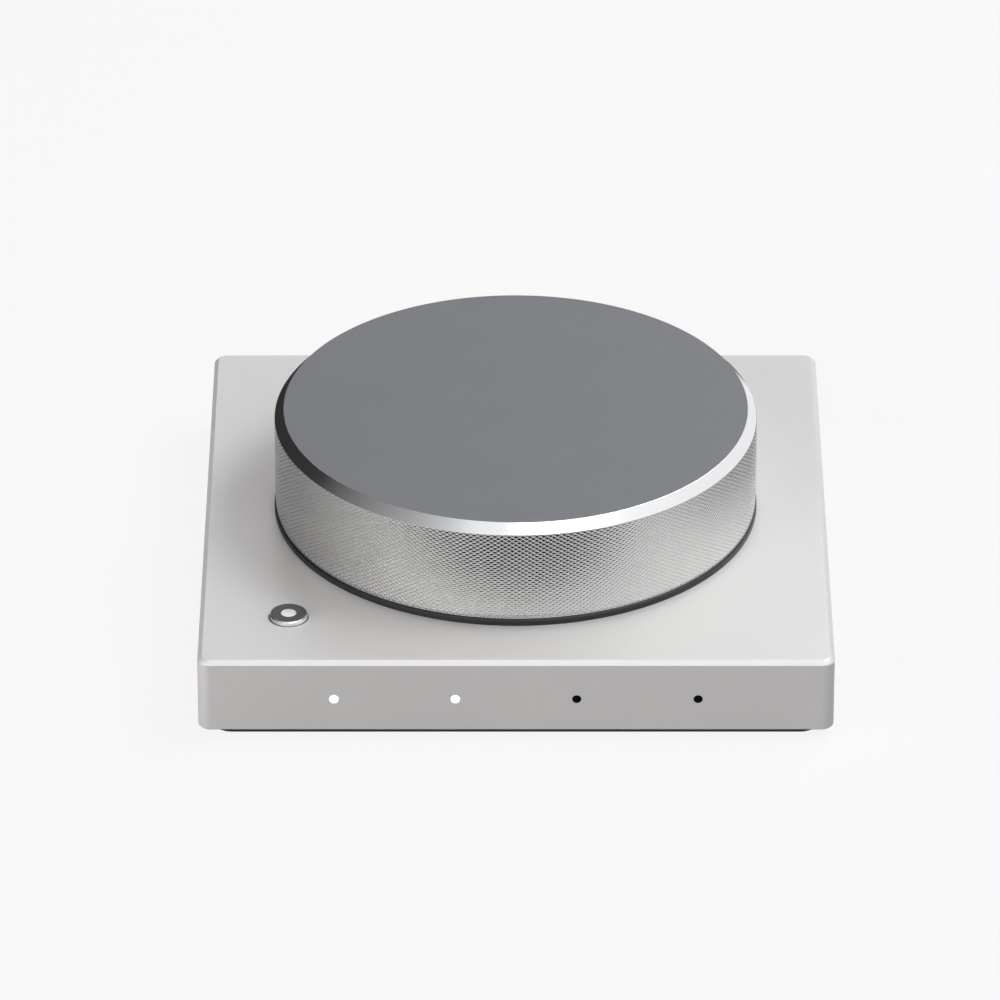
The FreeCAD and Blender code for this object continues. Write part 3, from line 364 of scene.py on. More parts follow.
class Effect:
    """A surface effect that several finishes share, as a shader node group built once."""

    name: ClassVar[str]
    inputs: ClassVar[dict[str, tuple[str, object]]]
    outputs: ClassVar[dict[str, str]]

    @classmethod
    def tree(cls) -> bpy.types.NodeTree:
        """Give the group, and build it the first time."""
        if cls.name in bpy.data.node_groups:
            return bpy.data.node_groups[cls.name]
        tree = bpy.data.node_groups.new(cls.name, "ShaderNodeTree")
        for label, (kind, value) in cls.inputs.items():
            socket = tree.interface.new_socket(label, in_out="INPUT", socket_type="NodeSocket" + kind)
            if value is not None:
                socket.default_value = value
        for label, kind in cls.outputs.items():
            tree.interface.new_socket(label, in_out="OUTPUT", socket_type="NodeSocket" + kind)
        graph = Graph(tree)
        given = tree.nodes.new("NodeGroupInput")
        taken = tree.nodes.new("NodeGroupOutput")
        for label, socket in cls.draw(graph, given.outputs).items():
            tree.links.new(socket, taken.inputs[label])
        return tree

    @classmethod
    def draw(cls, graph: Graph, given: bpy.types.NodeOutputs) -> dict[str, bpy.types.NodeSocket]:
        """Draw the group's nodes.

        Args:
            graph: The group's graph.
            given: The group's inputs.

        Returns:
            What goes to each output.
        """
        raise NotImplementedError

    @classmethod
    def place(cls, graph: Graph, **values: Feed) -> bpy.types.NodeOutputs:
        """Place the group in a material and give its outputs.

        Args:
            graph: The material's graph.
            **values: What each input gets, by its name in lower case with underscores.

        Returns:
            The group's outputs.
        """
        node = graph.tree.nodes.new("ShaderNodeGroup")
        node.node_tree = cls.tree()
        for label, value in values.items():
            graph.feed(value, node.inputs[label.replace("_", " ")])
        return node.outputs


class Grain(Effect):
    """Fine irregular relief, as blasting, moulding or casting leaves it."""

    name = "fine_grain"
    inputs = {"vector": ("Vector", None), "scale": ("Float", 4000.0), "relief": ("Float", 0.00001)}
    outputs = {"normal": "Vector", "mask": "Float"}

    @classmethod
    def draw(cls, graph: Graph, given: bpy.types.NodeOutputs) -> dict[str, bpy.types.NodeSocket]:
        """Draw two sizes of noise and raise a bump from them."""
        fine = graph.add("TexNoise", {"Vector": given["vector"], "Scale": given["scale"], "Detail": 2.0})
        coarse = graph.add("TexNoise", {"Vector": given["vector"], "Detail": 1.0,
                                        "Scale": graph.math("MULTIPLY", given["scale"], 0.31)})
        height = graph.math("ADD", fine.outputs[0], graph.math("MULTIPLY", coarse.outputs[0], 0.6))
        bump = graph.add("Bump", {"Height": height, "Distance": given["relief"], "Strength": 1.0})
        return {"normal": bump.outputs[0], "mask": fine.outputs[0]}


class ToolRings(Effect):
    """Fine rings about the Z axis, as a lathe tool leaves them."""

    name = "tool_rings"
    inputs = {"vector": ("Vector", None), "pitch": ("Float", 0.0001), "relief": ("Float", 0.000001)}
    outputs = {"normal": "Vector", "mask": "Float"}

    @classmethod
    def draw(cls, graph: Graph, given: bpy.types.NodeOutputs) -> dict[str, bpy.types.NodeSocket]:
        """Draw waves along the radius and the height, with uneven strength."""
        parts = graph.add("SeparateXYZ", {0: given["vector"]}).outputs
        square = graph.math("ADD", graph.math("MULTIPLY", parts[0], parts[0]),
                            graph.math("MULTIPLY", parts[1], parts[1]))
        path = graph.math("ADD", graph.math("SQRT", square), parts[2])
        place = graph.math("DIVIDE", path, given["pitch"])
        uneven = graph.add("TexNoise", {"W": place, "Scale": 1.0, "Detail": 2.0}, noise_dimensions="1D")
        wave = graph.math("SINE", graph.math("MULTIPLY", place, FULL_TURN))
        height = graph.math("ADD", graph.math("MULTIPLY", wave, 0.35), uneven.outputs[0])
        bump = graph.add("Bump", {"Height": height, "Distance": given["relief"], "Strength": 1.0})
        return {"normal": bump.outputs[0], "mask": uneven.outputs[0]}


class Streaks(Effect):
    """Long scratches in one direction, as brushing or drawing leaves them."""

    name = "drawn_streaks"
    inputs = {"vector": ("Vector", None), "stretch": ("Vector", (100.0, 9000.0, 9000.0)),
              "relief": ("Float", 0.000002)}
    outputs = {"normal": "Vector", "mask": "Float"}

    @classmethod
    def draw(cls, graph: Graph, given: bpy.types.NodeOutputs) -> dict[str, bpy.types.NodeSocket]:
        """Draw noise in stretched space."""
        space = graph.add("VectorMath", {0: given["vector"], 1: given["stretch"]}, operation="MULTIPLY")
        noise = graph.add("TexNoise", {"Vector": space.outputs[0], "Scale": 1.0, "Detail": 3.0})
        bump = graph.add("Bump", {"Height": noise.outputs[0], "Distance": given["relief"], "Strength": 1.0})
        return {"normal": bump.outputs[0], "mask": noise.outputs[0]}


class Handling(Effect):
    """Large soft patches, where handling and age have changed the sheen a little."""

    name = "handling_marks"
    inputs = {"vector": ("Vector", None), "scale": ("Float", 60.0), "low": ("Float", 0.3),
              "high": ("Float", 0.4)}
    outputs = {"roughness": "Float", "mask": "Float"}

    @classmethod
    def draw(cls, graph: Graph, given: bpy.types.NodeOutputs) -> dict[str, bpy.types.NodeSocket]:
        """Draw soft noise and carry it over to the two roughness values."""
        noise = graph.add("TexNoise", {"Vector": given["vector"], "Scale": given["scale"], "Detail": 4.0,
                                       "Roughness": 0.6})
        spread = graph.add("MapRange", {"Value": noise.outputs[0], "From Min": 0.3, "From Max": 0.7})
        return {"roughness": graph.between(spread.outputs[0], given["low"], given["high"]),
                "mask": spread.outputs[0]}


class Tones(Effect):
    """Two near tones of one colour, mixed by a mask and a little cloudiness."""

    name = "two_tones"
    inputs = {"vector": ("Vector", None), "mask": ("Float", 0.5), "first": ("Color", None),
              "second": ("Color", None), "scale": ("Float", 150.0)}
    outputs = {"colour": "Color"}

    @classmethod
    def draw(cls, graph: Graph, given: bpy.types.NodeOutputs) -> dict[str, bpy.types.NodeSocket]:
        """Mix the tones half by the mask and half by noise."""
        noise = graph.add("TexNoise", {"Vector": given["vector"], "Scale": given["scale"], "Detail": 3.0})
        half = graph.math("MULTIPLY", graph.math("ADD", noise.outputs[0], given["mask"]), 0.5, clamp=True)
        return {"colour": graph.blend(half, given["first"], given["second"])}


class BoxWear(Effect):
    """Where the edges of a square housing are rubbed: along its outer corners and its rim."""

    name = "box_wear"
    inputs = {"vector": ("Vector", None), "half": ("Float", 0.05), "top": ("Float", 0.0141),
              "reach": ("Float", 0.0012)}
    outputs = {"mask": "Float"}

    @classmethod
    def draw(cls, graph: Graph, given: bpy.types.NodeOutputs) -> dict[str, bpy.types.NodeSocket]:
        """Count how many of the outer faces are near, and break the result up with noise."""
        parts = graph.add("SeparateXYZ", {0: given["vector"]}).outputs

        def near(value: Feed, face: Feed) -> bpy.types.NodeSocket:
            """Fade from one at the face to nought a reach away."""
            gap = graph.math("SUBTRACT", face, value)
            return graph.math("SUBTRACT", 1.0, graph.math("DIVIDE", gap, given["reach"]), clamp=True)

        sides = [near(graph.math("ABSOLUTE", parts[axis]), given["half"]) for axis in (0, 1)]
        faces = graph.math("ADD", graph.math("ADD", *sides), near(parts[2], given["top"]))
        edge = graph.math("SUBTRACT", faces, 1.0, clamp=True)
        noise = graph.add("TexNoise", {"Vector": given["vector"], "Scale": 900.0, "Detail": 4.0})
        broken = graph.add("MapRange", {"Value": noise.outputs[0], "From Min": 0.35, "From Max": 0.65})
        return {"mask": graph.math("MULTIPLY", edge, broken.outputs[0])}


class Texture(Enum):
    """The kinds of relief that a finish may have."""

    GRAIN = Grain
    RINGS = ToolRings
    STREAKS = Streaks


@dataclass(frozen=True)
class Finish:
    """A surface finish, drawn with procedural nodes on object coordinates."""

    name: str
    colour: Colour
    second: Colour
    roughness: tuple[float, float]
    metallic: float = 0.0
    texture: Texture = Texture.GRAIN
    size: Union[float, Triple] = 4000.0
    relief: float = 0.00001
    patches: float = 60.0
    coat: float = 0.0

    def relief_values(self) -> dict[str, Feed]:
        """Give the values for the relief group of this finish."""
        label = {Texture.GRAIN: "scale", Texture.RINGS: "pitch", Texture.STREAKS: "stretch"}[self.texture]
        return {label: self.size, "relief": self.relief}

    def material(self) -> bpy.types.Material:
        """Give the material, and build it the first time."""
        if self.name in bpy.data.materials:
            return bpy.data.materials[self.name]
        made = bpy.data.materials.new(self.name)
        made.use_nodes = True
        made.diffuse_color = linear(self.colour)
        graph = Graph(made.node_tree)
        shader = made.node_tree.nodes["Principled BSDF"]
        where = graph.add("TexCoord").outputs["Object"]
        relief = self.texture.value.place(graph, vector=where, **self.relief_values())
        sheen = Handling.place(graph, vector=where, scale=self.patches, low=self.roughness[0],
                               high=self.roughness[1])
        tones = Tones.place(graph, vector=where, mask=relief["mask"], first=linear(self.colour),
                            second=linear(self.second))
        graph.feed(tones["colour"], shader.inputs["Base Color"])
        graph.feed(sheen["roughness"], shader.inputs["Roughness"])
        graph.feed(relief["normal"], shader.inputs["Normal"])
        shader.inputs["Metallic"].default_value = self.metallic
        shader.inputs["Coat Weight"].default_value = self.coat
        self.refine(graph, shader, where, tones["colour"])
        return made

    def refine(self, graph: Graph, shader: bpy.types.Node, where: bpy.types.NodeSocket,
               colour: bpy.types.NodeSocket) -> None:
        """Add what only this kind of finish has; a plain finish has nothing more.

        Args:
            graph: The material's graph.
            shader: Its Principled shader.
            where: The object coordinates.
            colour: The colour so far.
        """


@dataclass(frozen=True)
class WornFinish(Finish):
    """A housing's finish, a little brighter where its edges are rubbed."""

    worn: Colour = (236, 236, 236)
    faintness: float = 0.15

    def refine(self, graph: Graph, shader: bpy.types.Node, where: bpy.types.NodeSocket,
               colour: bpy.types.NodeSocket) -> None:
        """Brighten the rubbed edges."""
        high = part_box("base_shell")[1]
        wear = BoxWear.place(graph, vector=where, half=high.x, top=high.z)
        faint = graph.math("MULTIPLY", wear["mask"], self.faintness)
        graph.feed(graph.blend(faint, colour, linear(self.worn)), shader.inputs["Base Color"])


@dataclass(frozen=True)
class GlowFinish(Finish):
    """A light guide's end, lit from behind."""

    glow: float = 1.0

    def refine(self, graph: Graph, shader: bpy.types.Node, where: bpy.types.NodeSocket,
               colour: bpy.types.NodeSocket) -> None:
        """Let the colour shine."""
        graph.feed(colour, shader.inputs["Emission Color"])
        shader.inputs["Emission Strength"].default_value = self.glow


@dataclass(frozen=True)
class BoardFinish(Finish):
    """A circuit board's solder mask over copper tracks."""

    track: Colour = (52, 120, 76)

    def refine(self, graph: Graph, shader: bpy.types.Node, where: bpy.types.NodeSocket,
               colour: bpy.types.NodeSocket) -> None:
        """Show the tracks as lines in a lighter green."""
        bricks = graph.add("TexBrick", {"Vector": where, "Scale": 220.0, "Mortar Size": 0.06, "Bias": 0.0,
                                        "Brick Width": 2.7, "Row Height": 0.42})
        graph.feed(graph.blend(bricks.outputs["Fac"], colour, linear(self.track)), shader.inputs["Base Color"])


HOUSING = WornFinish("blasted_housing", (214, 214, 214), (208, 208, 208), (0.42, 0.5), 0.35,
                     size=5200.0, relief=0.000006, patches=45.0)
INNER = Finish("milled_inside", (176, 178, 180), (158, 160, 163), (0.35, 0.5), 1.0, Texture.STREAKS,
               (900.0, 6000.0, 6000.0), 0.000004)
KNURLED = Finish("knurled_grip", (216, 216, 215), (208, 208, 206), (0.16, 0.22), 1.0, size=9000.0,
                 relief=0.000003)
CHAMFER = Finish("polished_chamfer", (243, 244, 245), (236, 237, 239), (0.14, 0.18), 1.0, Texture.RINGS,
                 0.00008, 0.0000004)
TURNED = Finish("turned_inside", (190, 191, 193), (172, 173, 175), (0.3, 0.42), 1.0, Texture.RINGS, 0.00022,
                0.000004)
DISC = Finish("dark_disc", (116, 118, 123), (109, 111, 116), (0.4, 0.46), 0.4, size=6500.0, relief=0.000004,
              patches=30.0)
RING = Finish("black_ring", (17, 17, 18), (12, 12, 13), (0.36, 0.48), size=3200.0, relief=0.000008)
RUBBER = Finish("foot_rubber", (30, 30, 31), (22, 22, 23), (0.62, 0.78), size=2600.0, relief=0.00004)
CAP = Finish("bright_button_rim", (236, 236, 236), (226, 226, 226), (0.18, 0.24), 1.0, Texture.RINGS,
             0.00009, 0.0000008)
FACE = Finish("dark_button_face", (74, 74, 76), (66, 66, 68), (0.42, 0.52), size=5200.0, relief=0.000006)
LENS = Finish("white_lens", (232, 233, 232), (222, 224, 223), (0.3, 0.4), size=2500.0, relief=0.000003,
              coat=0.3)
LIT = GlowFinish("lit_guide", (252, 252, 252), (246, 247, 248), (0.3, 0.4), size=2500.0, relief=0.000002)
DARK = Finish("dark_guide", (10, 10, 11), (6, 6, 7), (0.12, 0.2), size=2500.0, relief=0.000002, coat=0.5)
PLATE = Finish("plate_steel", (120, 122, 124), (104, 106, 108), (0.34, 0.48), 1.0, Texture.STREAKS,
               (120.0, 7000.0, 7000.0), 0.000003)
SCREW = Finish("screw_steel", (92, 92, 94), (70, 70, 72), (0.3, 0.42), 1.0, Texture.RINGS, 0.0003, 0.000004)
SPINDLE = Finish("spindle_steel", (188, 188, 190), (170, 170, 173), (0.2, 0.3), 1.0, Texture.RINGS, 0.00016,
                 0.000002)
BEARING = Finish("bearing_steel", (204, 205, 208), (190, 191, 194), (0.1, 0.18), 1.0, Texture.RINGS, 0.00006,
                 0.0000008)
SPRING = Finish("spring_steel", (168, 168, 170), (140, 140, 142), (0.25, 0.4), 1.0, Texture.STREAKS,
                (3000.0, 3000.0, 9000.0), 0.000002)
PORT = Finish("port_steel", (198, 199, 201), (182, 183, 186), (0.22, 0.34), 1.0, Texture.STREAKS,
              (9000.0, 500.0, 9000.0), 0.000002)
CONTACT = Finish("contact_plating", (222, 184, 106), (204, 164, 88), (0.2, 0.3), 1.0, Texture.STREAKS,
                 (9000.0, 700.0, 9000.0), 0.000001)
NYLON = Finish("cage_nylon", (206, 196, 172), (192, 182, 158), (0.45, 0.6), size=2400.0, relief=0.00001)
BOARD = BoardFinish("board_mask", (24, 84, 52), (18, 70, 44), (0.25, 0.4), size=1800.0, relief=0.000006,
                    coat=0.4)
CHIP = Finish("chip_epoxy", (38, 38, 40), (28, 28, 30), (0.5, 0.65), size=5200.0, relief=0.000012)
CERAMIC = Finish("ceramic_tan", (176, 146, 108), (150, 122, 88), (0.4, 0.55), size=5200.0, relief=0.000006)
LED = Finish("led_resin", (236, 234, 222), (222, 218, 200), (0.2, 0.32), size=3000.0, relief=0.000003,
             coat=0.4)
FILM = Finish("adhesive_film", (214, 210, 198), (202, 198, 184), (0.4, 0.6), size=1500.0, relief=0.000008)

NODE_FINISHES: dict[str, Finish] = {
    "bottom_plate": PLATE,
    "bottom_plate_screws": SCREW,
    "bearing_carrier": INNER,
    "carrier_screws": SCREW,
    "lower_outer_race": BEARING,
    "upper_outer_race": BEARING,
    "lower_inner_race": BEARING,
    "upper_inner_race": BEARING,
    "lower_balls": BEARING,
    "upper_balls": BEARING,
    "lower_cage": NYLON,
    "upper_cage": NYLON,
    "main_board": BOARD,
    "board_screws": SCREW,
    "encoder_chip": CHIP,
    "controller_chip": CHIP,
    "clock_crystal": PORT,
    "small_board_parts": CERAMIC,
    "indicator_leds": LED,
    "usb_port_shell": PORT,
    "usb_port_tongue": CHIP,
    "usb_port_contacts": CONTACT,
    "button_led": LED,
    "switch_body": CHIP,
    "switch_plunger": NYLON,
    "disc_adhesive": FILM,
    "hub_screws": SCREW,
    "spindle": SPINDLE,
    "encoder_magnet": PORT,
    "retaining_ring": SPRING,
    "preload_washer": SPRING,
}


def dress_nodes() -> None:
    """Give every CAD node that stays in view its finish."""
    for name, finish in NODE_FINISHES.items():
        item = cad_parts[name]
        if not item.material_slots:
            item.data.materials.append(None)
        for place in item.material_slots:
            place.material = finish.material()
        LOG.info("%s: dressed in %s", name, finish.name)


# ---------------------------------------------------------------------------------------------------------
# Sub-assemblies
# ---------------------------------------------------------------------------------------------------------


@dataclass
class Housing:
    """The milled housing with its foot pad and the ring under the dial."""

    corner: float = 2.0
    top_chamfer: float = 0.7
    bottom_chamfer: float = 0.25
    eased: float = 0.07
    wall: float = 3.0
    plate_lip: float = 1.5
    hollow_corner: float = 4.0
    carrier_hole: float = 13.05
    carrier_thread: tuple[float, float] = (17.5, 1.54)
    groove: tuple[float, float, float] = (34.88, 38.92, 0.3)
    button_hole: float = 3.18
    button_steps: int = 72
    light_hole: float = 0.73
    slot_clearance: float = 0.15
    slot_corner: float = 1.45
    rim: float = 0.04
    plate_boss: tuple[float, float, float] = (43.5, 4.0, 1.29)
    board_boss: tuple[float, float, float] = (30.0, 3.0, 1.04)
    boss_steps: int = 40
    thread_depth: float = 4.5
    thread_tip: float = 0.5
    thread_steps: int = 24
    pad_corner: float = 3.3
    pad_edge: float = 0.25
    ring_lift: float = 0.2
    ring_edge: float = 0.3
    ring_eased: float = 0.05
    ring_gap: float = 0.02
    ring_steps: int = 220

    def build(self) -> None:
        """Build the housing, the pad and the ring."""
        self.build_shell()
        self.build_pad()
        self.build_ring()

    def outer(self) -> Blank:
        """Shape the outside of the housing."""
        low, high = span("base_shell")
        solid = Blank.block(low, high).bevelled(upright, self.corner, 14)
        solid.bevelled(level(high.z), self.top_chamfer, 1)
        solid.bevelled(level(low.z), self.bottom_chamfer, 1)
        return solid.bevelled(lambda edge: level(high.z)(edge) or level(high.z - self.top_chamfer)(edge),
                              self.eased, 2)

    def hollow(self, half: float, bottom: float, top: float, corner: float) -> Blank:
        """Shape one of the square hollows below the deck.

        Args:
            half: Half of its width.
            bottom: Its lower end.
            top: Its upper end.
            corner: The radius of its upright corners.

        Returns:
            The solid to cut out.
        """
        return Blank.block((-half, -half, bottom), (half, half, top)).bevelled(upright, corner, 8)

    def build_shell(self) -> None:
        """Cut the hollows, holes and slot, and stand the bosses inside."""
        low, high = span("base_shell")
        plate_top = span("bottom_plate")[1].z
        board_top = span("main_board")[1].z
        ceiling = high.z - self.wall
        half = high.x
        solid = self.outer()
        seat = self.hollow(half - self.plate_lip, low.z - OVERRUN, plate_top, self.corner / 2)
        room = self.hollow(half - self.wall, plate_top - OVERRUN / 2, ceiling, self.hollow_corner)
        solid.combined(seat, Combine.CUT).combined(room, Combine.CUT)
        for (place, radius, hole), foot in ((self.plate_boss, plate_top), (self.board_boss, board_top)):
            post = Blank.rod(radius, foot, ceiling + OVERRUN, self.boss_steps)
            solid.combined(post.moved((place, place, 0.0)).repeated(4), Combine.ADD)
            start, end = foot - OVERRUN / 2, foot + self.thread_depth
            drill = Blank.turned([(0, start), (hole, start), (hole, end), (0, end + self.thread_tip)],
                                 self.thread_steps)
            solid.combined(drill.moved((place, place, 0.0)).repeated(4), Combine.CUT)
        self.cut_deck(solid, high.z, ceiling)
        self.cut_walls(solid, half)
        solid.piece("housing", [HOUSING], "base", "housing_aluminium", ["base_shell"], 40.0)

    def cut_deck(self, solid: Blank, top: float, ceiling: float) -> None:
        """Cut the holes and the groove of the deck, with eased rims.

        Args:
            solid: The housing.
            top: The height of the deck's top.
            ceiling: The height of its underside.
        """
        low, high = ceiling - OVERRUN, top + OVERRUN
        inner, outer, depth = self.groove
        solid.combined(Blank.rod(self.carrier_hole, low, high), Combine.CUT)
        place, radius = self.carrier_thread
        drill = Blank.rod(radius, low, high, self.thread_steps)
        solid.combined(drill.moved((place, 0.0, 0.0)).repeated(4), Combine.CUT)
        groove = [(inner, top - depth), (outer, top - depth), (outer, high), (inner, high)]
        solid.combined(Blank.turned(groove), Combine.CUT)
        radius = self.button_hole
        hole = Blank.turned([(0, low), (radius, low), (radius, top - self.rim),
                             (radius + self.rim + OVERRUN, high), (0, high)], self.button_steps)
        solid.combined(hole.moved((*self.button_place(), 0.0)), Combine.CUT)

    @staticmethod
    def button_place() -> tuple[float, float]:
        """Give the middle of the button, seen from above."""
        low, high = span("button_face")
        return ((low.x + high.x) / 2, (low.y + high.y) / 2)

    def cut_walls(self, solid: Blank, half: float) -> None:
        """Cut the light holes and the port's slot, with eased rims.

        Args:
            solid: The housing.
            half: Half of its width.
        """
        for number in range(1, 5):
            low, high = span("light_pipe_%d" % number)
            radius = self.light_hole
            reach = self.wall + 2 * OVERRUN
            profile = [(0, 0), (radius, 0), (radius, reach - OVERRUN - self.rim / 2),
                       (radius + self.rim / 2 + OVERRUN, reach), (0, reach)]
            hole = Blank.turned(profile, self.boss_steps).tipped("X", 90.0)
            hole.moved(((low.x + high.x) / 2, OVERRUN + self.wall - half, (low.z + high.z) / 2))
            solid.combined(hole, Combine.CUT)
        low, high = span("usb_port_shell")
        gap = self.slot_clearance
        slot = Blank.block((low.x - gap, half - self.wall - OVERRUN, low.z - gap),
                           (high.x + gap, half + OVERRUN, high.z + gap))
        slot.bevelled(lambda edge: abs(edge.verts[0].co.y - edge.verts[1].co.y) > OVERRUN, self.slot_corner, 8)
        solid.combined(slot, Combine.CUT)
        solid.bevelled(lambda edge: all(abs(vert.co.y - half) < NEAR and abs(vert.co.x) < high.x + 2 * gap
                                        for vert in edge.verts), 2 * self.rim, 2)

    def build_pad(self) -> None:
        """Mould the foot pad."""
        low, high = span("foot_pad")
        pad = Blank.block(low, high).bevelled(upright, self.pad_corner, 10)
        pad.bevelled(sharp, self.pad_edge, 3)
        pad.piece("pad", [RUBBER], "base", "pad_rubber", ["foot_pad"])

    def build_ring(self) -> None:
        """Turn the dark ring."""
        low, high = span("plinth_ring")
        inner, outer, top = self.groove[0] + self.ring_gap, high.x, high.z + self.ring_lift
        ring = Blank.turned([(inner, low.z), (outer, low.z), (outer, top - self.ring_edge),
                             (outer - self.ring_edge, top), (inner, top)], self.ring_steps)
        ring.bevelled(sharp, self.ring_eased, 2)
        ring.piece("dark_ring", [RING], "base", "ring_black", ["plinth_ring"])


@dataclass
class Dial:
    """The knurled cup of the dial and the disc in its top."""

    steps: int = 220
    rows: int = 21
    knurl_depth: float = 0.08
    flank: float = 0.09
    crown: float = 0.03
    crown_share: float = 0.15
    chamfer: tuple[float, float] = (1.45, 1.6)
    foot_chamfer: float = 0.25
    wall: float = 3.25
    web: float = 3.5
    rim_land: float = 0.02
    recess: float = 1.5
    screw_circle: float = 9.6
    screw_hole: tuple[float, float, float] = (1.54, 2.84, 1.3)
    screw_steps: int = 32
    eased: float = 0.02
    disc_gap: float = 0.03
    disc_edge: float = 0.02

    def build(self) -> None:
        """Build the cup and the disc."""
        self.build_cup()
        self.build_disc()

    def build_cup(self) -> None:
        """Turn the cup, drill its web and knurl its wall."""
        low, high = span("dial_shell")
        radius, foot, top = high.x, low.z, high.z
        valley = radius - self.knurl_depth
        narrow, tall = self.chamfer
        slope = narrow / tall
        shoulder = top - tall + self.knurl_depth / slope
        inner_rim = radius - narrow
        recess_wall = inner_rim - self.rim_land
        bore = radius - self.wall
        web_top = top - self.recess
        web_bottom = web_top - self.web
        cup = Blank.turned([(bore, foot), (valley, foot), (valley, shoulder), (inner_rim, top),
                            (recess_wall, top), (recess_wall, web_top), (0, web_top), (0, web_bottom),
                            (bore, web_bottom)], self.steps)
        hole, head, sink = self.screw_hole
        start, end = web_bottom - OVERRUN, web_top + OVERRUN / 5
        drill = Blank.turned([(0, start), (hole, start), (hole, web_top - sink), (head, web_top),
                              (head, end), (0, end)], self.screw_steps)
        cup.combined(drill.moved((self.screw_circle, 0.0, 0.0)).repeated(3), Combine.CUT)
        cup.bevelled(lambda edge: level(top)(edge) and all(vert.co.xy.length > inner_rim - NEAR
                                                           for vert in edge.verts), self.eased, 2)
        self.knurl(cup, radius, valley, foot, shoulder)
        for vert in cup.bm.verts:
            reach = vert.co.xy.length
            limit = min(radius - (vert.co.z - (top - tall)) * slope, radius - self.foot_chamfer
                        + (vert.co.z - foot), radius)
            if reach > valley + NEAR and reach > limit:
                vert.co.xy *= limit / reach
        cup.bm.normal_update()
        for face in cup.bm.faces:
            middle = face.calc_center_median()
            if middle.xy.length > valley - NEAR and middle.z < shoulder:
                face.material_index = 1
            elif middle.z > shoulder - NEAR and face.normal.z > 0.2 and middle.xy.length > recess_wall:
                face.material_index = 2
        cup.piece("knurled_cup", [TURNED, KNURLED, CHAMFER], "dial", "dial_aluminium", ["dial_shell"])

    def knurl(self, cup: Blank, radius: float, valley: float, foot: float, shoulder: float) -> None:
        """Raise a diamond knurl on the plain wall of the cup.

        Args:
            cup: The cup.
            radius: The radius over the knurl.
            valley: The radius of the wall before it is knurled.
            foot: The height of the wall's lower end.
            shoulder: The height of its upper end.
        """
        bm = cup.bm

        def on_wall(verts: Iterable[bmesh.types.BMVert]) -> bool:
            """Tell whether points lie on the plain wall."""
            return all(abs(vert.co.xy.length - valley) < 0.02 and foot - NEAR < vert.co.z < shoulder + NEAR
                       for vert in verts)

        posts = [edge for edge in bm.edges if upright(edge) and on_wall(edge.verts)]
        bmesh.ops.subdivide_edges(bm, edges=posts, cuts=self.rows - 1, use_grid_fill=True)
        cells = [face for face in bm.faces if len(face.verts) == 4 and on_wall(face.verts)]
        chosen = set(cells)
        inner = [edge for edge in bm.edges if edge.link_faces and chosen.issuperset(edge.link_faces)]
        bmesh.ops.poke(bm, faces=cells)
        bmesh.ops.dissolve_edges(bm, edges=inner, use_verts=False)
        diamonds = [face for face in bm.faces if on_wall(face.verts) and abs(face.normal.z) < 0.1]
        for width, share in ((self.flank, 1.0 - self.crown_share), (self.crown, self.crown_share)):
            bmesh.ops.inset_individual(bm, faces=diamonds, thickness=width, depth=self.knurl_depth * share,
                                       use_even_offset=True)

    def build_disc(self) -> None:
        """Turn the dark disc."""
        low, high = span("dial_top_disc")
        radius = span("dial_shell")[1].x - self.chamfer[0] - self.rim_land - self.disc_gap
        disc = Blank.rod(radius, low.z, high.z, self.steps)
        disc.bevelled(sharp, self.disc_edge, 2)
        disc.piece("top_disc", [DISC], "dial", "disc_grey", ["dial_top_disc"])


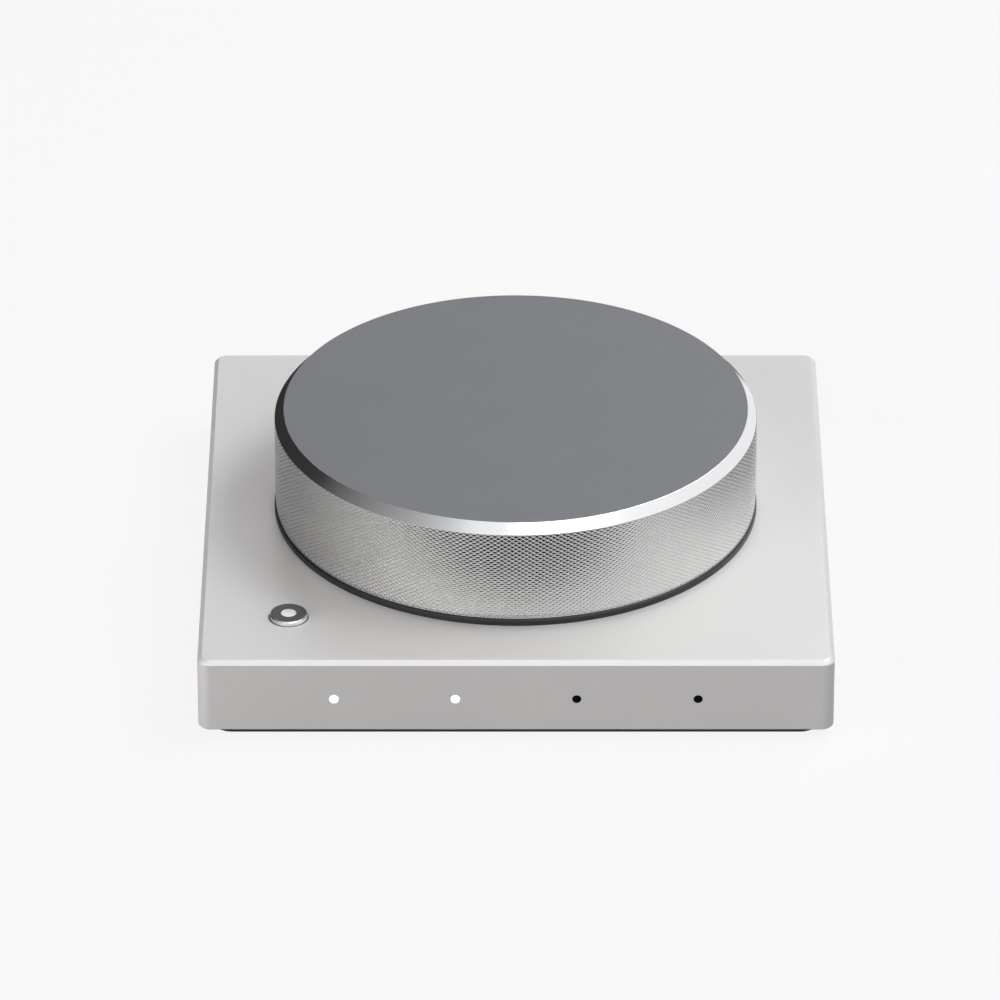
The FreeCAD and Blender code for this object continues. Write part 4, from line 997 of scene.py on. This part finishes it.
@dataclass
class PressButton:
    """The small button: its bright cap, dark ring, white light guide and return spring."""

    radius: float = 3.03
    face_radius: float = 2.8
    lens_radius: float = 1.215
    bevel: float = 0.2
    flange: float = 4.2
    flange_height: float = 1.0
    face_depth: float = 0.8
    fit: float = 0.02
    edge: float = 0.03
    steps: int = 96
    lens_steps: int = 64
    arm_width: float = 2.6
    arm_root: float = 3.36
    spring_radius: float = 2.0
    wire: float = 0.2
    wire_steps: int = 10
    coils: float = 4.82
    coil_steps: int = 24
    travel: float = 0.4

    def build(self) -> None:
        """Build every part of the button."""
        x, y = Housing.button_place()
        cap_low, cap_high = span("button_cap")
        lens_foot, lens = span("button_lens")[0].z, self.lens_radius
        top, foot = cap_high.z, cap_low.z
        ledge, bore = top - self.face_depth, lens + self.fit
        seat = self.face_radius + self.fit
        crest = top - self.fit
        slope = self.radius - seat - self.fit
        cap = Blank.turned([(bore, foot), (self.flange, foot), (self.flange, foot + self.flange_height),
                            (self.radius, foot + self.flange_height), (self.radius, crest - self.bevel),
                            (self.radius - slope, crest), (seat, crest), (seat, ledge), (bore, ledge)],
                           self.steps)
        cap.bevelled(level(crest - self.bevel), self.edge, 2)
        arm = Blank.block((self.arm_root, -self.arm_width / 2, foot),
                          (cap_high.x - x, self.arm_width / 2, foot + self.flange_height))
        cap.combined(arm, Combine.ADD).moved((x, y, 0.0))
        cap.piece("button_rim", [CAP], "button", "button_aluminium", ["button_cap"], 40.0)
        ring = Blank.turned([(bore, ledge), (self.face_radius, ledge), (self.face_radius, top), (bore, top)],
                            self.steps)
        ring.bevelled(sharp, self.edge, 2).moved((x, y, 0.0))
        ring.piece("button_ring", [FACE], "button", "face_dark", ["button_face"])
        dot = Blank.rod(lens, lens_foot, top - self.fit, self.lens_steps)
        dot.bevelled(sharp, self.edge, 2).moved((x, y, 0.0))
        dot.piece("button_dot", [LENS], "button", "lens_white", ["button_lens"])
        self.build_spring(x, y)

    def build_spring(self, x: float, y: float) -> None:
        """Wind the return spring.

        Args:
            x: The button's place across.
            y: The button's place along.
        """
        low, high = span("button_spring")
        coil = Blank()
        wire = bmesh.ops.create_circle(coil.bm, segments=self.wire_steps, radius=self.wire,
                                       cap_ends=True)["verts"]
        bmesh.ops.rotate(coil.bm, cent=(0, 0, 0), matrix=Matrix.Rotation(math.pi / 2, 3, "X"), verts=wire)
        bmesh.ops.translate(coil.bm, vec=(self.spring_radius, 0.0, low.z + self.wire), verts=wire)
        steps = round(self.coils * self.coil_steps)
        rise = (high.z - low.z - 2 * self.wire) / steps
        bmesh.ops.spin(coil.bm, geom=list(coil.bm.verts) + list(coil.bm.edges) + list(coil.bm.faces),
                       cent=(0, 0, 0), axis=(0, 0, 1), dvec=(0, 0, rise), angle=FULL_TURN * self.coils,
                       steps=steps)
        spring = coil.healed().moved((x, y, 0.0)).piece("return_spring", [SPRING], "base", "spring_steel",
                                                        ["button_spring"])
        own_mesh(spring)


@dataclass
class Lights:
    """The four light guides in the front wall."""

    collar: float = 1.3
    collar_length: float = 0.5
    radius: float = 0.71
    dome: float = 0.03
    crown_share: float = 0.6
    crown_drop: float = 0.006
    steps: int = 40

    def build(self) -> None:
        """Turn the four guides; the two on the left are lit."""
        for number in range(1, 5):
            low, high = span("light_pipe_%d" % number)
            length = high.y - low.y
            guide = Blank.turned([(0, 0), (self.collar, 0), (self.collar, self.collar_length),
                                  (self.radius, self.collar_length), (self.radius, length - self.dome),
                                  (self.radius * self.crown_share, length - self.crown_drop),
                                  (0, length)], self.steps)
            guide.tipped("X", 90.0).moved(((low.x + high.x) / 2, high.y, (low.z + high.z) / 2))
            finish, slot = (LIT, "light_lit") if number <= 2 else (DARK, "light_dark")
            guide.piece("light_guide_%d" % number, [finish], "base", slot, ["light_pipe_%d" % number])


# ---------------------------------------------------------------------------------------------------------
# Studio
# ---------------------------------------------------------------------------------------------------------


def sheet(name: str, length: float, width: float) -> bpy.types.Object:
    """Lay a flat sheet about the origin.

    Args:
        name: Its name.
        length: Its size along X in metres.
        width: Its size along Y in metres.

    Returns:
        The sheet, in the scene.
    """
    bm = bmesh.new()
    bmesh.ops.create_grid(bm, x_segments=1, y_segments=1, size=0.5)
    bmesh.ops.scale(bm, vec=(length, width, 1.0), verts=bm.verts)
    mesh = bpy.data.meshes.new(name)
    bm.to_mesh(mesh)
    bm.free()
    item = bpy.data.objects.new(name, mesh)
    bpy.context.collection.objects.link(item)
    return item


def bare_graph(item: bpy.types.Object) -> Graph:
    """Give a sheet a material of its own name, with nothing but its output, and give its graph."""
    made = bpy.data.materials.new(item.name)
    made.use_nodes = True
    made.node_tree.nodes.remove(made.node_tree.nodes["Principled BSDF"])
    item.data.materials.append(made)
    return Graph(made.node_tree)


@dataclass(frozen=True)
class Softbox:
    """One soft round lamp, aimed at the object."""

    name: str
    place: Triple
    width: float
    watts: float
    colour: Triple = (1.0, 1.0, 1.0)
    aim: Triple = (0.0, 0.0, 0.015)

    def build(self) -> None:
        """Hang the lamp."""
        lamp = bpy.data.lights.new(self.name, "AREA")
        lamp.shape = "DISK"
        lamp.size = self.width
        lamp.energy = self.watts
        lamp.color = self.colour
        item = bpy.data.objects.new(self.name, lamp)
        item.location = self.place
        item.rotation_euler = (Vector(self.aim) - Vector(self.place)).to_track_quat("-Z", "Y").to_euler()
        bpy.context.collection.objects.link(item)


@dataclass(frozen=True)
class Zone:
    """A soft patch of light in the surround, brightest towards one direction."""

    azimuth: float
    elevation: float
    strength: float

    def direction(self) -> Triple:
        """Give its direction; the azimuth runs from the front towards the right."""
        turn, rise = math.radians(self.azimuth), math.radians(self.elevation)
        return (math.sin(turn) * math.cos(rise), -math.cos(turn) * math.cos(rise), math.sin(rise))


@dataclass(frozen=True)
class Card:
    """A card beside the object, which only reflections see.

    It is black up to one place along its length and then brightens evenly up to the backdrop's level.
    """

    name: str
    place: Triple
    length: float
    width: float
    turn: Triple
    black_to: float
    pale_from: float
    black: float = 0.03

    def build(self, pale: float) -> None:
        """Stand the card up.

        Args:
            pale: The backdrop's brightness.
        """
        card = sheet(self.name, self.length, self.width)
        card.location = self.place
        card.rotation_euler = tuple(math.radians(angle) for angle in self.turn)
        for rays in ("camera", "diffuse", "shadow"):
            setattr(card, "visible_" + rays, False)
        graph = bare_graph(card)
        along = graph.add("SeparateXYZ", {0: graph.add("TexCoord").outputs["Object"]}).outputs["X"]
        glow = graph.add("MapRange", {"Value": along, "From Min": self.black_to, "From Max": self.pale_from,
                                      "To Min": self.black * pale, "To Max": pale}).outputs[0]
        graph.surface(graph.add("Emission", {"Strength": glow}))


@dataclass
class Studio:
    """The camera at the photograph's angle, the pale floor, the plain soft light and the cards."""

    focal_mm: float = 309.974
    elevation: float = 29.884
    distance: float = 1.41733
    target: Triple = (-0.002514, 0.022688, 0.0016)
    pale: float = 0.945
    softness: float = 4.0
    floor_side: float = 12.0
    floor_gap: float = 0.00003
    floor_colour: float = 0.5
    shade_colour: float = 0.9
    glow_share: float = 0.92
    lamps: Sequence[Softbox] = (
        Softbox("near_right_softbox", (0.22, 0.0, 0.36), 0.16, 0.25),
        Softbox("near_rear_softbox", (0.2, 0.2, 0.3), 0.16, 0.25),
        Softbox("high_right_softbox", (0.5, 0.0, 0.866), 0.5, 1.9),
        Softbox("high_rear_softbox", (0.497, 0.287, 0.819), 0.5, 1.9),
        Softbox("front_left_softbox", (-0.894, -1.065, 0.562), 0.75, 11.2, (1.0, 0.945, 0.93)),
        Softbox("left_softbox", (-1.323, -0.354, 0.291), 0.75, 6.8, (1.0, 0.955, 0.94)),
        Softbox("top_softbox", (0.276, -0.519, 0.809), 0.62, 1.0),
    )
    surround: Sequence[Zone] = (
        Zone(-60, 15, 0.54),
        Zone(60, 15, 1.28),
        Zone(-120, 15, 0.117),
    )
    cards: Sequence[Card] = (
        Card("left_card", (-0.3, 0.2, 0.55), 2.0, 1.1, (90.0, 0.0, -90.0), 0.14, 0.86),
        Card("rear_floor_card", (-0.15, 0.58, 0.001), 0.34, 1.0, (0.0, 0.0, 0.0), 1.0, 2.0),
        Card("floor_left_card", (-0.12, -0.225, 0.0005), 0.25, 0.65, (0.0, 0.0, 180.0), -0.085, 0.06),
        Card("floor_right_card", (0.15, -0.225, 0.0005), 0.3, 0.65, (0.0, 0.0, 0.0), -0.1, 0.1),
        Card("low_card", (0.01, -0.5, 0.07), 0.4, 0.14, (90.0, 0.0, 0.0), 1.0, 2.0),
    )

    def build(self) -> None:
        """Set up everything around the object."""
        self.build_camera()
        self.build_world()
        self.build_floor()
        for lamp in self.lamps:
            lamp.build()
        for card in self.cards:
            card.build(self.pale)
        bpy.context.scene.view_settings.view_transform = "Standard"

    def build_camera(self) -> None:
        """Place the camera as it was fitted to the photograph."""
        data = bpy.data.cameras.new("camera")
        data.lens = self.focal_mm
        data.clip_start, data.clip_end = 0.01, 50.0
        camera = bpy.data.objects.new("camera", data)
        tilt = math.radians(self.elevation)
        back = Vector((0.0, -math.cos(tilt), math.sin(tilt))) * self.distance
        camera.location = Vector(self.target) + back
        camera.rotation_euler = (math.pi / 2 - tilt, 0.0, 0.0)
        bpy.context.collection.objects.link(camera)
        bpy.context.scene.camera = camera

    def shown(self, graph: Graph) -> bpy.types.NodeSocket:
        """Tell the rays that show the backdrop from those that only carry light."""
        path = graph.add("LightPath").outputs
        seen = graph.math("MAXIMUM", path["Is Camera Ray"], path["Is Transmission Ray"])
        return graph.math("MAXIMUM", seen, path["Is Glossy Ray"])

    def build_world(self) -> None:
        """Light the object softly from a few sides, before a pale backdrop."""
        world = bpy.data.worlds.new("studio")
        world.use_nodes = True
        bpy.context.scene.world = world
        graph = Graph(world.node_tree)
        where = graph.add("TexCoord").outputs["Generated"]
        light: Feed = 0.0
        for zone in self.surround:
            facing = graph.add("VectorMath", {0: where, 1: zone.direction()}, operation="DOT_PRODUCT")
            nearness = graph.math("MAXIMUM", facing.outputs["Value"], 0.0)
            lobe = graph.math("POWER", nearness, self.softness)
            light = graph.math("MULTIPLY_ADD", lobe, zone.strength, light)
        back = world.node_tree.nodes["Background"]
        back.inputs["Color"].default_value = (1.0, 1.0, 1.0, 1.0)
        graph.feed(graph.between(self.shown(graph), light, self.pale), back.inputs["Strength"])

    def build_floor(self) -> None:
        """Lay the floor just under the pad: pale to the eye, with a faint shadow, and clear from below."""
        floor = sheet("floor", self.floor_side, self.floor_side)
        floor.location.z = -self.floor_gap
        graph = bare_graph(floor)
        plain = graph.add("BsdfDiffuse", {"Color": (self.floor_colour,) * 3 + (1.0,)})
        shaded = graph.add("BsdfDiffuse", {"Color": (self.shade_colour,) * 3 + (1.0,)})
        shining = graph.add("Emission", {"Strength": self.pale})
        seen = graph.add("MixShader", {0: self.glow_share, 1: shaded.outputs[0], 2: shining.outputs[0]})
        both = graph.add("MixShader", {0: self.shown(graph), 1: plain.outputs[0], 2: seen.outputs[0]})
        under = graph.add("NewGeometry").outputs["Backfacing"]
        clear = graph.add("BsdfTransparent")
        graph.surface(graph.add("MixShader", {0: under, 1: both.outputs[0], 2: clear.outputs[0]}))


def main() -> None:
    """Build the object's pieces in order, then the studio."""
    logging.basicConfig(level=logging.INFO, format="%(name)s %(message)s")
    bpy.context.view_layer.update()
    for assembly in (Housing(), Dial(), PressButton(), Lights()):
        assembly.build()
    dress_nodes()
    Studio().build()


if __name__ == "__main__":
    main()
